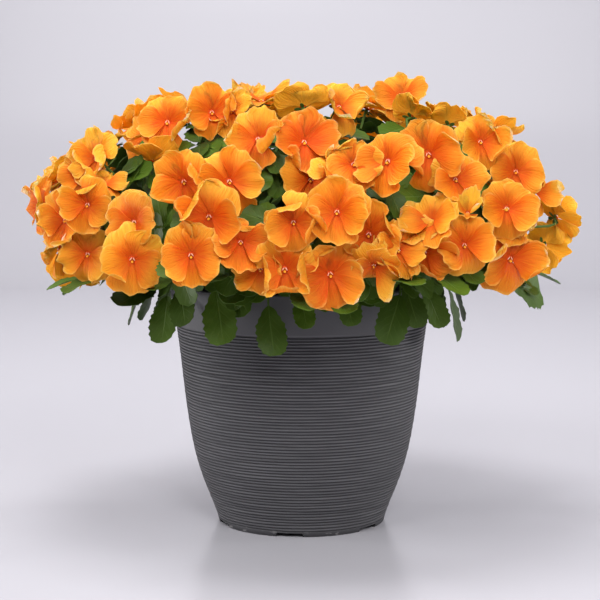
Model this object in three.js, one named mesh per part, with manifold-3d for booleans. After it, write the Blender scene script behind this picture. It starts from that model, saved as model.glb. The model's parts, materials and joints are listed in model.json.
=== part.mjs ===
// A potted pansy planter: a ribbed plastic pot of potting mix, leafy stems that lean out over its rim,
// and a wide crown of orange blooms. Millimetres, +Z up, the front at -Y, the origin under its middle.
import * as THREE from "three";
import { mergeVertices } from "three/addons/utils/BufferGeometryUtils.js";
import Module from "manifold-3d";

const wasm = await Module();
wasm.setup();

const GAP = 0.3; // clear air between two pieces that touch on the real thing
const AIR = 0.35; // clear air kept round whatever already stands
const EDGE_AIR = 1.4; // how much more of it goes round a thin sharp rim
const GOLDEN_TURN = 137.508; // degrees between the spots of an even spiral

const pot = {
  height: 275,
  rimRadius: 150,
  bandHeight: 44,
  bandStep: 0.4,
  bandEdge: 2,
  rimEdge: 1.5,
  rimInset: 1.2,
  footHeight: 6,
  footRadius: 95,
  footStep: 0.6,
  wall: 3,
  ribWall: 4,
  floor: 5,
  lip: 7,
  belly: 87,
  segments: 24,
  ribs: 9,
  ribDepth: 2,
  notches: 6,
  notchWidth: 30,
  notchHeight: 4.5,
  notchTurn: -8,
  drains: 6,
  drainRadius: 6,
  drainRing: 62,
  drainTurn: 30,
};

// The pot's outer radius at heights above the ground, read down its side.
const POT_SIDE = [
  [6, 97],
  [18, 101],
  [53, 114.5],
  [87, 124],
  [135, 132],
  [204, 140],
  [275, 150],
];

const mix = { top: 250, crown: 5, bore: 4.6 };

// The crown is a flattened dome: the surface that the blooms' throats lie on.
const crown = { radius: 288, middle: 335, rise: 148, drop: 105, squareness: 2.3 };

// The point that the front blooms were sighted from, and where along a sight line to the axis plane the
// search for the crown starts, ends and steps, as shares of its length.
const SIGHT = new THREE.Vector3(0, -2050, 478);
const SEARCH = { from: 0.82, to: 1.02, step: 0.001 };

// Front blooms: across and up on the plane of the pot's axis, as sighted from the front, then how far the
// bloom is turned to the right and tipped upwards in degrees, and its size.
const FRONT_BLOOMS = [
  [-274, 351, -28, 5, 1.0],
  [-244, 363, -15, 5, 0.9],
  [-248, 397, -20, 15, 0.85],
  [-228, 423, -30, 10, 0.95],
  [-222, 389, 30, 55, 0.75],
  [-192, 343, -20, 0, 1.0],
  [-135, 389, -8, 5, 1.0],
  [-159, 421, -20, 110, 0.95],
  [-152, 457, -5, 25, 1.0],
  [-101, 468, 10, 20, 0.95],
  [-241, 300, -25, -10, 0.95],
  [-193, 300, 0, -5, 1.05],
  [-129, 299, -5, 5, 1.0],
  [-106, 349, -5, 5, 1.08],
  [-77, 390, 10, 5, 1.02],
  [-69, 321, 5, 15, 0.9],
  [-50, 438, -15, 25, 1.0],
  [-80, 470, -20, 30, 0.9],
  [-45, 483, 0, 75, 1.05],
  [4, 435, 15, 15, 1.05],
  [2, 475, 180, 30, 0.95],
  [44, 475, 40, 20, 0.95],
  [59, 410, 10, 20, 0.9],
  [105, 415, -25, 10, 1.05],
  [7, 391, -10, 20, 0.95],
  [38, 393, 30, 50, 0.95],
  [40, 355, -5, 0, 1.0],
  [-9, 343, 5, 10, 0.9],
  [77, 329, 10, 5, 1.05],
  [-19, 289, 0, -5, 1.05],
  [-51, 289, -30, 0, 0.85],
  [33, 283, 5, 0, 1.08],
  [83, 292, 5, -50, 0.85],
  [144, 420, 5, 10, 1.08],
  [176, 392, 20, 5, 0.95],
  [200, 438, 25, 20, 0.95],
  [168, 455, 160, 40, 0.8],
  [113, 486, -10, 30, 0.9],
  [122, 465, 150, 30, 0.9],
  [244, 401, 15, 15, 0.95],
  [268, 377, 40, 5, 0.85],
  [234, 359, 15, 10, 0.95],
  [293, 354, 120, 20, 0.85],
  [189, 355, 0, 40, 0.55],
  [147, 345, -20, 40, 0.95],
  [140, 308, -10, -15, 1.05],
  [186, 310, 5, 5, 0.95],
  [233, 337, 20, -30, 0.85],
  [239, 304, 15, -5, 1.15],
  [277, 312, 120, 0, 0.9],
  [108, 313, 10, 10, 0.85],
];

// Front leaves that lean or hang out: the way that they all face a little, then root and tip, each across
// and up on the plane of the pot's axis, as sighted from the front.
const FRONT_FACING = new THREE.Vector3(0, -0.8, 0.5);
const FRONT_LEAVES = [
  [-276, 320, -320, 338],
  [-267, 314, -304, 307],
  [-262, 308, -292, 282],
  [-219, 284, -235, 252],
  [-162, 272, -213, 252],
  [-181, 270, -178, 234],
  [-153, 262, -160, 206],
  [-140, 270, -132, 228],
  [-99, 270, -89, 204],
  [-38, 251, -34, 190],
  [-2, 262, 6, 222],
  [50, 270, 58, 225],
  [113, 263, 99, 204],
  [118, 274, 133, 222],
  [140, 272, 161, 222],
  [202, 280, 206, 231],
  [238, 272, 276, 262],
];

const bloom = { radius: 30, thickness: 0.8, layerGap: 1.2, waist: 0.13, roll: 14, ruffle: 0.035, apart: 0.01 };
// How each layer of petals lies: its slope out from the waist, its least curve and how much more curve it may
// have, as shares of the bloom's radius.
const PETAL_LIE = {
  behind: [-0.04, -0.08, -0.16],
  front: [0.06, 0.02, 0.16],
};
// The rest of the blooms go by rule in trios: how many spots are tried over the crown's depth and at how many
// turns each, the distance between trios and from a trio's middle to its blooms, and how the blooms vary.
const spread = {
  candidates: 700,
  depth: 1.38,
  turns: 4,
  spacing: 77,
  ring: 28,
  lowest: 286,
  tilt: 12,
  lift: 0.15,
  level: 0.8,
  least: 0.95,
  more: 0.2,
};
// How blooms are brought together in a node: how far apart they may stand, how close they are drawn and
// turned, how groups that meet are slid apart, and the steps inwards and sideways that a join tries.
const grouping = {
  reach: 105,
  facing: 20,
  overlap: 0.88,
  aside: 9,
  twist: 8,
  lift: 12,
  rounds: 60,
  clear: 11,
  beside: 0.88,
  ease: 0.12,
  outMost: 8,
  inMost: 26,
  nudges: [0, 1, -1, 2, -2, 3, -3, 4, -4, 6, -6, 8, -8, 11, -11],
  nearer: [0, 3, 6, 9, -3, -6],
};

const leaf = {
  length: 58,
  halfWidth: 16,
  thickness: 0.8,
  droop: 7,
  fold: 2.6,
  middle: 0.58,
  lift: 0.75,
  facing: 0.3,
  level: 0.35,
  sunk: 0.68,
  tries: 6,
  perStem: 5,
  least: 0.9,
  more: 0.3,
};

// The leaves round the rim on short stalks of their own: how far out their roots and tips hang, how high the
// roots are, where the stalks may start, and how the leaves that go by rule vary.
const skirt = {
  rootReach: 168,
  tipReach: 190,
  height: 268,
  droop: 3,
  least: 6,
  choices: 6,
  steps: [0, 14, 28, -14, 42],
  starts: [0.3, 0.6, 0.8],
  count: 11,
  from: -20,
  sweep: 220,
  moreReach: 8,
  moreHeight: 16,
  leastLean: 0.2,
  moreLean: 0.6,
  leastSize: 0.9,
  moreSize: 0.25,
  facing: 0.6,
};

const stem = { radius: 4, tipRadius: 3, depth: 20, steps: 3, stray: 0.1, uneven: 0.12 };
const stalk = {
  radius: 1.5,
  cup: 2.3,
  neck: 14,
  hang: 5,
  clear: 5,
  choices: 6,
  dear: 0.12,
  sunk: 0.6,
  beside: 0.4,
  outside: 1.08,
};

// Half of a leaf's toothed rim: shares of its length and of its half width.
const LEAF_SIDE = [
  [0.4, 0.92],
  [0.55, 0.78],
  [0.74, 0.82],
];

// A ring of leafy stems: how many, turned by how much, the feet, bends and tips as distance from the pot's
// axis and height, and the small leafy core that the leaves and stalks stand out of: its distance, its height,
// and its half sizes outwards, sideways and upwards.
const STEM_RINGS = [
  {
    count: 9,
    turned: 10,
    run: [
      [98, 256],
      [108, 318],
      [190, 342],
    ],
    core: [172, 342, 60, 54, 52],
  },
  {
    count: 3,
    turned: 30,
    run: [
      [40, 256],
      [44, 330],
      [60, 380],
    ],
    core: [60, 378, 49, 49, 46],
  },
];

const COLOURS = { pot: 0x454346, mix: 0x2b211a, green: 0x35501f, petal: 0xe8781c };

// A seeded draw between 0 and 1, the same on every run.
let drawState = 20117;
function draw() {
  drawState = (Math.imul(drawState, 1664525) + 1013904223) >>> 0;
  return drawState / 4294967296;
}

function radians(degrees) {
  return (degrees * Math.PI) / 180;
}

// A closed three.js geometry as a solid that can be joined and cut.
function solidOf(geometry) {
  const loose = geometry.index ? geometry.toNonIndexed() : geometry;
  const bare = new THREE.BufferGeometry().setAttribute("position", loose.getAttribute("position"));
  const merged = mergeVertices(bare, 1e-3);
  return new wasm.Manifold(
    new wasm.Mesh({
      numProp: 3,
      vertProperties: merged.getAttribute("position").array,
      triVerts: new Uint32Array(merged.index.array),
    }),
  );
}

// A solid back as a three.js mesh of its own name and colour.
function meshOf(name, solid, color, roughness) {
  const made = solid.getMesh();
  const places = new Float32Array(made.numVert * 3);
  for (let i = 0; i < made.numVert; i++) {
    const start = i * made.numProp;
    places.set(made.vertProperties.subarray(start, start + 3), i * 3);
  }
  const geometry = new THREE.BufferGeometry()
    .setAttribute("position", new THREE.BufferAttribute(places, 3))
    .setIndex(new THREE.BufferAttribute(new Uint32Array(made.triVerts), 1));
  geometry.computeVertexNormals();
  const mesh = new THREE.Mesh(geometry, new THREE.MeshStandardMaterial({ color, roughness, metalness: 0 }));
  mesh.name = name;
  return mesh;
}

// Points and triangles, given by index, as an indexed geometry.
function geometryOf(points, faces) {
  return new THREE.BufferGeometry().setFromPoints(points).setIndex(faces.flat());
}

// The two triangles of each side face between a lower loop of points and the upper loop over it.
function walls(lower, upper) {
  const faces = [];
  lower.forEach((from, i) => {
    const next = (i + 1) % lower.length;
    faces.push([from, lower[next], upper[next]], [from, upper[next], upper[i]]);
  });
  return faces;
}

function reversed(faces) {
  return faces.map(([a, b, c]) => [a, c, b]);
}

function shifted(faces, by) {
  return faces.map((face) => face.map((i) => i + by));
}

function largest(solid) {
  const bodies = solid.decompose();
  return bodies.reduce((best, body) => (body.volume() > best.volume() ? body : best));
}

// The pot

function potRadius(z) {
  const above = POT_SIDE.findIndex(([height]) => height >= z);
  if (above <= 0) return POT_SIDE[0][1];
  const [z0, r0] = POT_SIDE[above - 1];
  const [z1, r1] = POT_SIDE[above];
  return r0 + ((r1 - r0) * (z - z0)) / (z1 - z0);
}

// The pot's inside as radius and height, from its floor up to its rim.
function potInside() {
  const ribTop = pot.height - pot.bandHeight;
  return [
    [pot.footRadius - pot.wall, pot.footHeight + pot.floor],
    [potRadius(pot.belly) - pot.ribWall, pot.belly],
    [potRadius(ribTop) - pot.ribWall, ribTop],
    [pot.rimRadius - pot.lip, pot.height],
  ];
}

function makePot() {
  const ribTop = pot.height - pot.bandHeight;
  const pitch = (ribTop - pot.footHeight) / pot.ribs;
  const crest = (z) => [potRadius(z) + pot.ribDepth / 2, z];
  const groove = (z) => [potRadius(z) - pot.ribDepth / 2, z];
  const profile = [
    [0, pot.footHeight],
    [pot.footRadius - pot.wall * 2, pot.footHeight],
    [pot.footRadius - pot.wall, 0],
    [pot.footRadius, 0],
    [pot.footRadius + pot.footStep, pot.footHeight],
  ];
  for (let i = 0; i < pot.ribs; i++) {
    const z = pot.footHeight + i * pitch;
    profile.push(crest(z + pitch / 2), groove(z + pitch));
  }
  profile.push(
    [potRadius(ribTop + pot.bandEdge) + pot.bandStep, ribTop + pot.bandEdge],
    [pot.rimRadius, pot.height - pot.rimEdge],
    [pot.rimRadius - pot.rimInset, pot.height],
    ...potInside().reverse(),
    [0, pot.footHeight + pot.floor],
  );
  const outline = profile.map(([r, z]) => new THREE.Vector2(r, z));
  let body = solidOf(new THREE.LatheGeometry(outline, pot.segments).rotateX(Math.PI / 2));
  for (let i = 0; i < pot.notches; i++) {
    const turn = radians(pot.notchTurn - 90 + (i * 360) / pot.notches);
    const box = new THREE.BoxGeometry(pot.wall * 6, pot.notchWidth, pot.notchHeight * 2);
    box.translate(pot.footRadius - pot.wall, 0, 0).rotateZ(turn);
    body = body.subtract(solidOf(box));
  }
  for (let i = 0; i < pot.drains; i++) {
    const turn = radians(pot.drainTurn + (i * 360) / pot.drains);
    const drain = new THREE.CylinderGeometry(pot.drainRadius, pot.drainRadius, pot.floor * 4, 6);
    drain.rotateX(Math.PI / 2);
    drain.translate(pot.drainRing, 0, pot.footHeight + pot.floor / 2).rotateZ(turn);
    body = body.subtract(solidOf(drain));
  }
  return body;
}

// The crown's layout

function crownMeasure(p) {
  const across = Math.hypot(p.x, p.y) / crown.radius;
  const up = (p.z - crown.middle) / (p.z > crown.middle ? crown.rise : crown.drop);
  return across ** crown.squareness + Math.abs(up) ** crown.squareness;
}

// The way out of the crown at a point.
function crownNormal(p) {
  const half = p.z > crown.middle ? crown.rise : crown.drop;
  const across = Math.hypot(p.x, p.y) || 1e-6;
  const slope = (across / crown.radius) ** (crown.squareness - 1) / crown.radius;
  const up = (Math.abs(p.z - crown.middle) / half) ** (crown.squareness - 1) / half;
  return new THREE.Vector3(
    (slope * p.x) / across,
    (slope * p.y) / across,
    p.z > crown.middle ? up : -up,
  ).normalize();
}

// Where the sight line through a place on the axis plane first meets the crown, or passes closest to it.
function sighted(across, up) {
  const way = new THREE.Vector3(across, 0, up).sub(SIGHT);
  let best = 1;
  let least = Infinity;
  for (let t = SEARCH.from; t <= SEARCH.to; t += SEARCH.step) {
    const measure = crownMeasure(way.clone().multiplyScalar(t).add(SIGHT));
    if (measure < least) {
      least = measure;
      best = t;
    }
    if (measure <= 1) break;
  }
  return way.multiplyScalar(best).add(SIGHT);
}

function frontBlooms() {
  return FRONT_BLOOMS.map(([across, up, yaw, nod, size]) => {
    const place = sighted(across, up);
    return {
      place,
      yaw: radians(yaw),
      nod: radians(nod),
      size,
      slide: place.clone().sub(SIGHT).normalize().negate(),
    };
  });
}

// The crown's surface straight out from its middle along a direction.
function onCrown(way) {
  const middle = new THREE.Vector3(0, 0, crown.middle);
  const step = way.clone().setLength(100);
  const measure = crownMeasure(step.clone().add(middle));
  return step.multiplyScalar(measure ** (-1 / crown.squareness)).add(middle);
}

// Three places round each spot of a spiral over the crown, at a few turns.
function trioPlaces() {
  const middle = new THREE.Vector3(0, 0, crown.middle);
  const trios = [];
  for (let i = 0; i < spread.candidates; i++) {
    const down = 1 - (spread.depth * (i + 0.5)) / spread.candidates;
    const turn = i * radians(GOLDEN_TURN);
    const side = Math.sqrt(1 - down * down);
    const spot = onCrown(new THREE.Vector3(side * Math.cos(turn), side * Math.sin(turn), down));
    const out = crownNormal(spot);
    const level = new THREE.Vector3(-out.y, out.x, 0).normalize();
    const rise = new THREE.Vector3().crossVectors(out, level);
    for (let k = 0; k < spread.turns; k++) {
      const trio = [0, 120, 240].map((third) => {
        const slant = radians(third + (120 * k) / spread.turns);
        const way = level.clone().multiplyScalar(Math.cos(slant)).addScaledVector(rise, Math.sin(slant));
        return onCrown(spot.clone().addScaledVector(way, spread.ring).sub(middle));
      });
      if (trio.every((place) => place.z > spread.lowest)) trios.push(trio);
    }
  }
  return trios;
}

// Blooms over the rest of the crown, three by three, each trio where it fits closest to the ones before it.
function otherBlooms(placed) {
  const all = [...placed];
  const gaps = trioPlaces().map((trio) => ({ trio, near: trio.map(() => Infinity) }));
  const note = (taken) =>
    gaps.forEach(({ trio, near }) =>
      trio.forEach((place, k) => (near[k] = Math.min(near[k], place.distanceTo(taken)))),
    );
  const slack = ({ near }) => near[0] + near[1] + near[2];
  all.forEach((b) => note(b.place));
  while (true) {
    const fits = gaps.filter(({ near }) => Math.min(...near) > spread.spacing);
    if (!fits.length) return all;
    const closest = fits.reduce((p, q) => (slack(q) < slack(p) ? q : p));
    closest.trio.forEach((place) => {
      const slide = crownNormal(place);
      const lean = slide.clone().setZ(slide.z + spread.lift).normalize();
      all.push({
        place: place.clone(),
        yaw: Math.atan2(lean.x, -lean.y) + radians(spread.tilt) * (2 * draw() - 1),
        nod: Math.asin(lean.z) * spread.level + radians(spread.tilt) * (2 * draw() - 1),
        size: spread.least + spread.more * draw(),
        slide,
      });
      note(place);
    });
  }
}

// Each bloom's own axes: right, up along its upper petals, and out of its face.
function dressAxes(b) {
  b.roll = radians(bloom.roll) * (2 * draw() - 1);
  b.waves = [draw(), draw(), draw(), draw(), draw()];
  b.face = new THREE.Vector3(
    Math.sin(b.yaw) * Math.cos(b.nod),
    -Math.cos(b.yaw) * Math.cos(b.nod),
    Math.sin(b.nod),
  );
  const right = new THREE.Vector3(Math.cos(b.yaw), Math.sin(b.yaw), 0);
  const up = new THREE.Vector3().crossVectors(b.face, right);
  b.right = right.clone().multiplyScalar(Math.cos(b.roll)).addScaledVector(up, Math.sin(b.roll));
  b.up = up.multiplyScalar(Math.cos(b.roll)).addScaledVector(right, -Math.sin(b.roll));
  b.radius = bloom.radius * b.size;
}

// Front blooms that stand closest and face alike go two or three together, so that their petals hold them
// together, and so do the trios of the rest.
function groupUp(blooms) {
  const near = [];
  const front = blooms.slice(0, FRONT_BLOOMS.length);
  front.forEach((a, i) => {
    front.slice(i + 1).forEach((b, k) => {
      const far = a.place.distanceTo(b.place) + grouping.facing * (1 - a.face.dot(b.face));
      if (far < grouping.reach) near.push([far, i, i + 1 + k]);
    });
  });
  near.sort((p, q) => p[0] - q[0]);
  const groups = [];
  const taken = new Map();
  for (const [, i, k] of near) {
    if (taken.has(i) || taken.has(k)) continue;
    taken.set(i, groups.length).set(k, groups.length);
    groups.push([[i, k]]);
  }
  for (const [, i, k] of near) {
    if (taken.has(i) === taken.has(k)) continue;
    const [single, other] = taken.has(i) ? [k, i] : [i, k];
    const group = taken.get(other);
    if (groups[group].length > 1) continue;
    groups[group].push([other, single]);
    taken.set(single, group);
  }
  front.forEach((b, i) => {
    if (taken.has(i)) return;
    taken.set(i, groups.length);
    groups.push([[i, i]]);
  });
  for (let i = front.length; i < blooms.length; i += 3) {
    [i, i + 1, i + 2].forEach((k) => taken.set(k, groups.length));
    groups.push([
      [i, i + 1],
      [i, i + 2],
    ]);
  }
  blooms.forEach((b, i) => (b.group = taken.get(i)));
  return groups;
}

// How high a bloom's petals lie over its flat face, at a turn and a share of its radius.
function petalHeight(b, layer, petal, r) {
  const out = Math.max(0, r - bloom.waist);
  const [slope, curve, more] = PETAL_LIE[layer];
  return out * slope + (curve + more * b.waves[petal]) * out * out;
}

// How far along an axis a bloom's petals lie from a point.
function faceHeight(b, point, axis) {
  const facing = axis.dot(b.face);
  const away = point.clone().sub(b.place);
  if (Math.abs(facing) < 0.4) return -away.dot(axis);
  const x = away.dot(b.right);
  const y = away.dot(b.up);
  const r = Math.min(1, Math.hypot(x, y) / b.radius);
  const turn = (Math.atan2(y, x) * 180) / Math.PI;
  const sideways = Math.abs(turn) < 30 || Math.abs(turn) > 150;
  const petal = turn < 0 ? 2 : turn < 90 ? 0 : 1;
  const height = sideways ? petalHeight(b, "front", x > 0 ? 3 : 4, r) : petalHeight(b, "behind", petal, r);
  return (height * b.radius - away.dot(b.face)) / facing;
}

function turnAbout(b, way, angle) {
  [b.right, b.up, b.face].forEach((axis) => axis.applyAxisAngle(way, angle));
}

// The blooms of a group are drawn together until their petals meet half way between them.
function drawTogether(blooms, groups) {
  for (const [i, k] of groups.flat()) {
    if (i === k) continue;
    const a = blooms[i];
    const b = blooms[k];
    const far = a.place.distanceTo(b.place);
    const pull = Math.min(grouping.aside, Math.max(0, far - grouping.overlap * (a.radius + b.radius)) / 2);
    const way = b.place.clone().sub(a.place).normalize();
    if (a.bound) b.place.addScaledVector(way, -2 * pull);
    else a.place.addScaledVector(way, pull) && b.place.addScaledVector(way, -pull);
    const axis = a.slide.clone().add(b.slide).normalize();
    if (!a.bound) turnAbout(a, way, radians(grouping.twist));
    turnAbout(b, way, -radians(grouping.twist));
    for (let round = 0; round < 6; round++) {
      const middle = a.place.clone().add(b.place).multiplyScalar(0.5);
      const step = faceHeight(a, middle, axis) - faceHeight(b, middle, axis);
      const kept = Math.min(grouping.lift, Math.max(-grouping.lift, step));
      if (a.bound) b.place.addScaledVector(axis, kept);
      else {
        a.place.addScaledVector(axis, -kept / 2);
        b.place.addScaledVector(axis, kept / 2);
      }
    }
    a.bound = true;
    b.bound = true;
  }
}

// Groups that would cross their neighbours are slid apart along their way out.
function settle(blooms, groups) {
  const slides = groups.map((links) => {
    const sum = new THREE.Vector3();
    new Set(links.flat()).forEach((i) => sum.add(blooms[i].slide));
    return sum.normalize();
  });
  const shift = groups.map(() => 0);
  for (let round = 0; round < grouping.rounds; round++) {
    for (let i = 0; i < blooms.length; i++) {
      for (let k = i + 1; k < blooms.length; k++) {
        const a = blooms[i];
        const b = blooms[k];
        if (a.group === b.group) continue;
        const way = b.place.clone().addScaledVector(slides[b.group], shift[b.group]).sub(a.place);
        way.addScaledVector(slides[a.group], -shift[a.group]);
        if (way.length() > grouping.beside * (a.radius + b.radius)) continue;
        const apart = way.dot(slides[a.group].clone().add(slides[b.group]).normalize());
        const push = Math.max(0, grouping.clear - Math.abs(apart)) * grouping.ease * (apart >= 0 ? 1 : -1);
        shift[a.group] -= push;
        shift[b.group] += push;
      }
    }
    shift.forEach((s, g) => (shift[g] = Math.min(grouping.outMost, Math.max(-grouping.inMost, s))));
  }
  blooms.forEach((b) => b.place.addScaledVector(slides[b.group], shift[b.group]));
}

// The blooms

const UPPER = [
  [22, 0.86],
  [58, 1.04],
  [90, 0.84],
  [122, 1.04],
  [158, 0.86],
];
const LOWER = [
  [228, 0.88],
  [270, 1.06],
  [312, 0.88],
];
const SIDE = [
  [-34, 0.94],
  [22, 0.98],
];
const WAIST = [
  [135, 1],
  [45, 1],
  [-45, 1],
  [225, 1],
];

// The middles that each petal widens from: from which point on, then across and up as shares of the radius.
const BEHIND_CENTRES = [
  [9, 0, -0.65],
  [4, 0, 0.6],
  [0, 0, 0],
];
const FRONT_CENTRES = [
  [6, -0.6, 0],
  [4, 0.6, 0],
  [0, 0, 0],
];

// Triangles of the layer behind (waist 0 to 3, upper petals 4 to 8, lower petal 9 to 11) and of the layer in
// front (waist 0 to 3, right petal 4 and 5, left petal 6 and 7), all seen from the bloom's face.
const UPPER_FACES = [
  [1, 4, 5],
  [1, 5, 6],
  [0, 1, 6],
  [0, 6, 7],
  [0, 7, 8],
];
const LOWER_FACES = [
  [3, 9, 10],
  [3, 10, 2],
  [2, 10, 11],
];
const SIDE_FACES = [
  [2, 4, 5],
  [2, 5, 1],
  [0, 6, 7],
  [0, 7, 3],
];
const WAIST_FACES = [
  [0, 3, 2],
  [0, 2, 1],
];
const BACK_RIM = [1, 4, 5, 6, 7, 8, 0, 3, 9, 10, 11, 2];
const FRONT_RIM = [1, 0, 6, 7, 3, 2, 4, 5];

// One bloom as a closed solid: two upper petals and a lower one behind, two side petals in front.
// spare makes it that much thicker and wider, to cut clear air around it.
function makeBloom(b, spare = 0) {
  const wide = b.radius;
  const onWaist = WAIST.map(([turn]) => [turn, bloom.waist]);
  const left = SIDE.map(([turn, r]) => [180 - turn, r]).reverse();
  const behind = [...onWaist, ...UPPER, ...LOWER];
  const inFront = [...onWaist, ...SIDE, ...left];
  const waist = WAIST.length;
  const ruffle = (i) => (i % 2 ? bloom.ruffle : -bloom.ruffle);
  const behindHeight = (i, r) => {
    if (i < waist) return 0;
    return petalHeight(b, "behind", i < 7 ? 0 : i < 9 ? 1 : 2, r) + Math.min(0, ruffle(i)) - bloom.apart;
  };
  const inFrontHeight = (i, r) => {
    if (i < waist) return 0;
    return petalHeight(b, "front", i < 6 ? 3 : 4, r) + Math.max(0, ruffle(i));
  };
  const thick = bloom.thickness + 2 * spare;
  const places = [];
  const add = (layer, height, base) => {
    const centres = layer === behind ? BEHIND_CENTRES : FRONT_CENTRES;
    layer.forEach(([turn, r], i) => {
      const flat = new THREE.Vector2(wide * r * Math.cos(radians(turn)), wide * r * Math.sin(radians(turn)));
      const centre = centres.find(([from]) => i >= from);
      const away = flat.clone().sub(new THREE.Vector2(centre[1], centre[2]).multiplyScalar(wide));
      if (i < waist) away.multiply(new THREE.Vector2(layer === behind ? 1 : 0, layer === behind ? 0 : 1));
      flat.addScaledVector(away.normalize(), EDGE_AIR * spare);
      places.push(new THREE.Vector3(flat.x, flat.y, wide * height(i, r) + base));
    });
  };
  add(behind, behindHeight, -spare - bloom.thickness);
  add(behind, behindHeight, -spare - bloom.thickness + thick);
  add(inFront, inFrontHeight, bloom.layerGap - spare);
  add(inFront, inFrontHeight, bloom.layerGap - spare + thick);
  const n = behind.length;
  const m = inFront.length;
  const petalsBehind = [...UPPER_FACES, ...LOWER_FACES];
  const frontBase = 2 * n;
  const ring = [0, 3, 2, 1];
  const faces = [
    ...reversed([...petalsBehind, ...WAIST_FACES]),
    ...shifted(petalsBehind, n),
    ...walls(
      BACK_RIM,
      BACK_RIM.map((i) => i + n),
    ),
    ...walls(
      ring.map((i) => i + n),
      ring.map((i) => i + frontBase),
    ),
    ...shifted(reversed(SIDE_FACES), frontBase),
    ...walls(
      FRONT_RIM.map((i) => i + frontBase),
      FRONT_RIM.map((i) => i + frontBase + m),
    ),
    ...shifted([...SIDE_FACES, ...WAIST_FACES], frontBase + m),
  ];
  const geometry = geometryOf(places, faces);
  const matrix = new THREE.Matrix4().makeBasis(b.right, b.up, b.face).setPosition(b.place);
  return solidOf(geometry.applyMatrix4(matrix));
}

// The green stems, stalks and leaves

// The stems, each upright in its hole and then bending out into its leafy core.
function layStems() {
  return STEM_RINGS.flatMap(({ count, turned, run: [foot, bend, tip], core }) =>
    Array.from({ length: count }, (_, i) => {
      const turn = radians(turned + (360 * (i + stem.stray * (draw() - 0.5))) / count);
      const at = ([r, z]) => new THREE.Vector3(r * Math.cos(turn), r * Math.sin(turn), z);
      const run = new THREE.QuadraticBezierCurve3(at(foot), at(bend), at(tip));
      const under = at([foot[0], mix.top - stem.depth + GAP]);
      const places = [under, ...run.getPoints(stem.steps)];
      const outward = new THREE.Vector3(Math.cos(turn), Math.sin(turn), 0);
      const aside = new THREE.Vector3(-Math.sin(turn), Math.cos(turn), 0);
      const [r, z, ...half] = core;
      const shape = new THREE.Matrix4().makeBasis(
        outward.clone().multiplyScalar(half[0]),
        aside.clone().multiplyScalar(half[1]),
        new THREE.Vector3(0, 0, half[2]),
      );
      shape.setPosition(at([r, z]));
      const ways = places.slice(1).map((place, k) => [places[k], place]);
      return { places, ways, aside, turn, shape, inward: shape.clone().invert(), stalks: [] };
    }),
  );
}

// The leafy core round a stem's tip: a ball of uneven facets, stretched to its half sizes.
function makeCore(s) {
  const loose = new THREE.DodecahedronGeometry(1).deleteAttribute("normal").deleteAttribute("uv");
  const ball = mergeVertices(loose);
  const places = ball.getAttribute("position");
  for (let i = 0; i < places.count; i++) {
    const out = 1 - stem.uneven * draw();
    places.setXYZ(i, places.getX(i) * out, places.getY(i) * out, places.getZ(i) * out);
  }
  return solidOf(ball.applyMatrix4(s.shape));
}

// How far out of a stem's core a place lies: 1 on its surface.
function coreMeasure(s, place) {
  return place.clone().applyMatrix4(s.inward).length();
}

// The least distance between two straight stretches.
function stretchGap([a, b], [c, d]) {
  const u = b.clone().sub(a);
  const v = d.clone().sub(c);
  const w = a.clone().sub(c);
  const uu = u.dot(u);
  const uv = u.dot(v);
  const vv = v.dot(v);
  const full = uu * vv - uv * uv;
  const clamp = (x) => Math.min(1, Math.max(0, x));
  const first = full > 1e-9 ? clamp((uv * v.dot(w) - vv * u.dot(w)) / full) : 0;
  const t = clamp((uv * first + v.dot(w)) / vv);
  const s = clamp((uv * t - u.dot(w)) / uu);
  return w.addScaledVector(u, s).addScaledVector(v, -t).length();
}

function isFree(stems, index, ways) {
  return stems.every((s, other) => {
    const apart = (way) => ways.every((mine) => stretchGap(way, mine) > stalk.clear);
    if (!s.stalks.flatMap((k) => k.ways).every(apart)) return false;
    if (other === index) return true;
    const line = new THREE.LineCurve3(...ways[0]);
    const outside = line.getPoints(5).every((place) => coreMeasure(s, place) > stalk.outside);
    return outside && s.ways.every(apart);
  });
}

// Each bloom's stalk runs from a leafy core, one near by that it leaves freely, up to its neck and its cup.
function layStalks(stems, blooms) {
  for (const b of blooms) {
    const end = b.place.clone().addScaledVector(b.face, -bloom.thickness - GAP);
    const neck = b.place.clone().addScaledVector(b.face, -stalk.neck);
    neck.z -= stalk.hang;
    const choices = stems.flatMap((s, index) => {
      const away = neck.clone().applyMatrix4(s.inward).normalize();
      return BESIDE.map(([x, y, z]) => {
        const off = new THREE.Vector3(x, y, z).multiplyScalar(stalk.beside);
        const root = away.clone().add(off).setLength(stalk.sunk).applyMatrix4(s.shape);
        return { index, root, cost: neck.distanceTo(root) };
      });
    });
    choices.sort((p, q) => p.cost - q.cost);
    const ways = (root) => [
      [root, neck],
      [neck, end],
    ];
    const free = choices.filter(({ index, root }) => isFree(stems, index, ways(root)));
    const best = free.length ? free.slice(0, stalk.choices) : choices.slice(0, 1);
    const joins = best.map(({ index, root, cost }) => {
      const made = { root, neck, end, bloom: b, ways: ways(root) };
      const joined = stems[index].body.add(makeStalk(made));
      return { index, made, joined, cost: cost * stalk.dear + joined.numTri() - stems[index].body.numTri() };
    });
    const { index, made, joined } = joins.reduce((p, q) => (q.cost < p.cost ? q : p));
    stems[index].stalks.push(made);
    stems[index].body = joined;
  }
}

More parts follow.
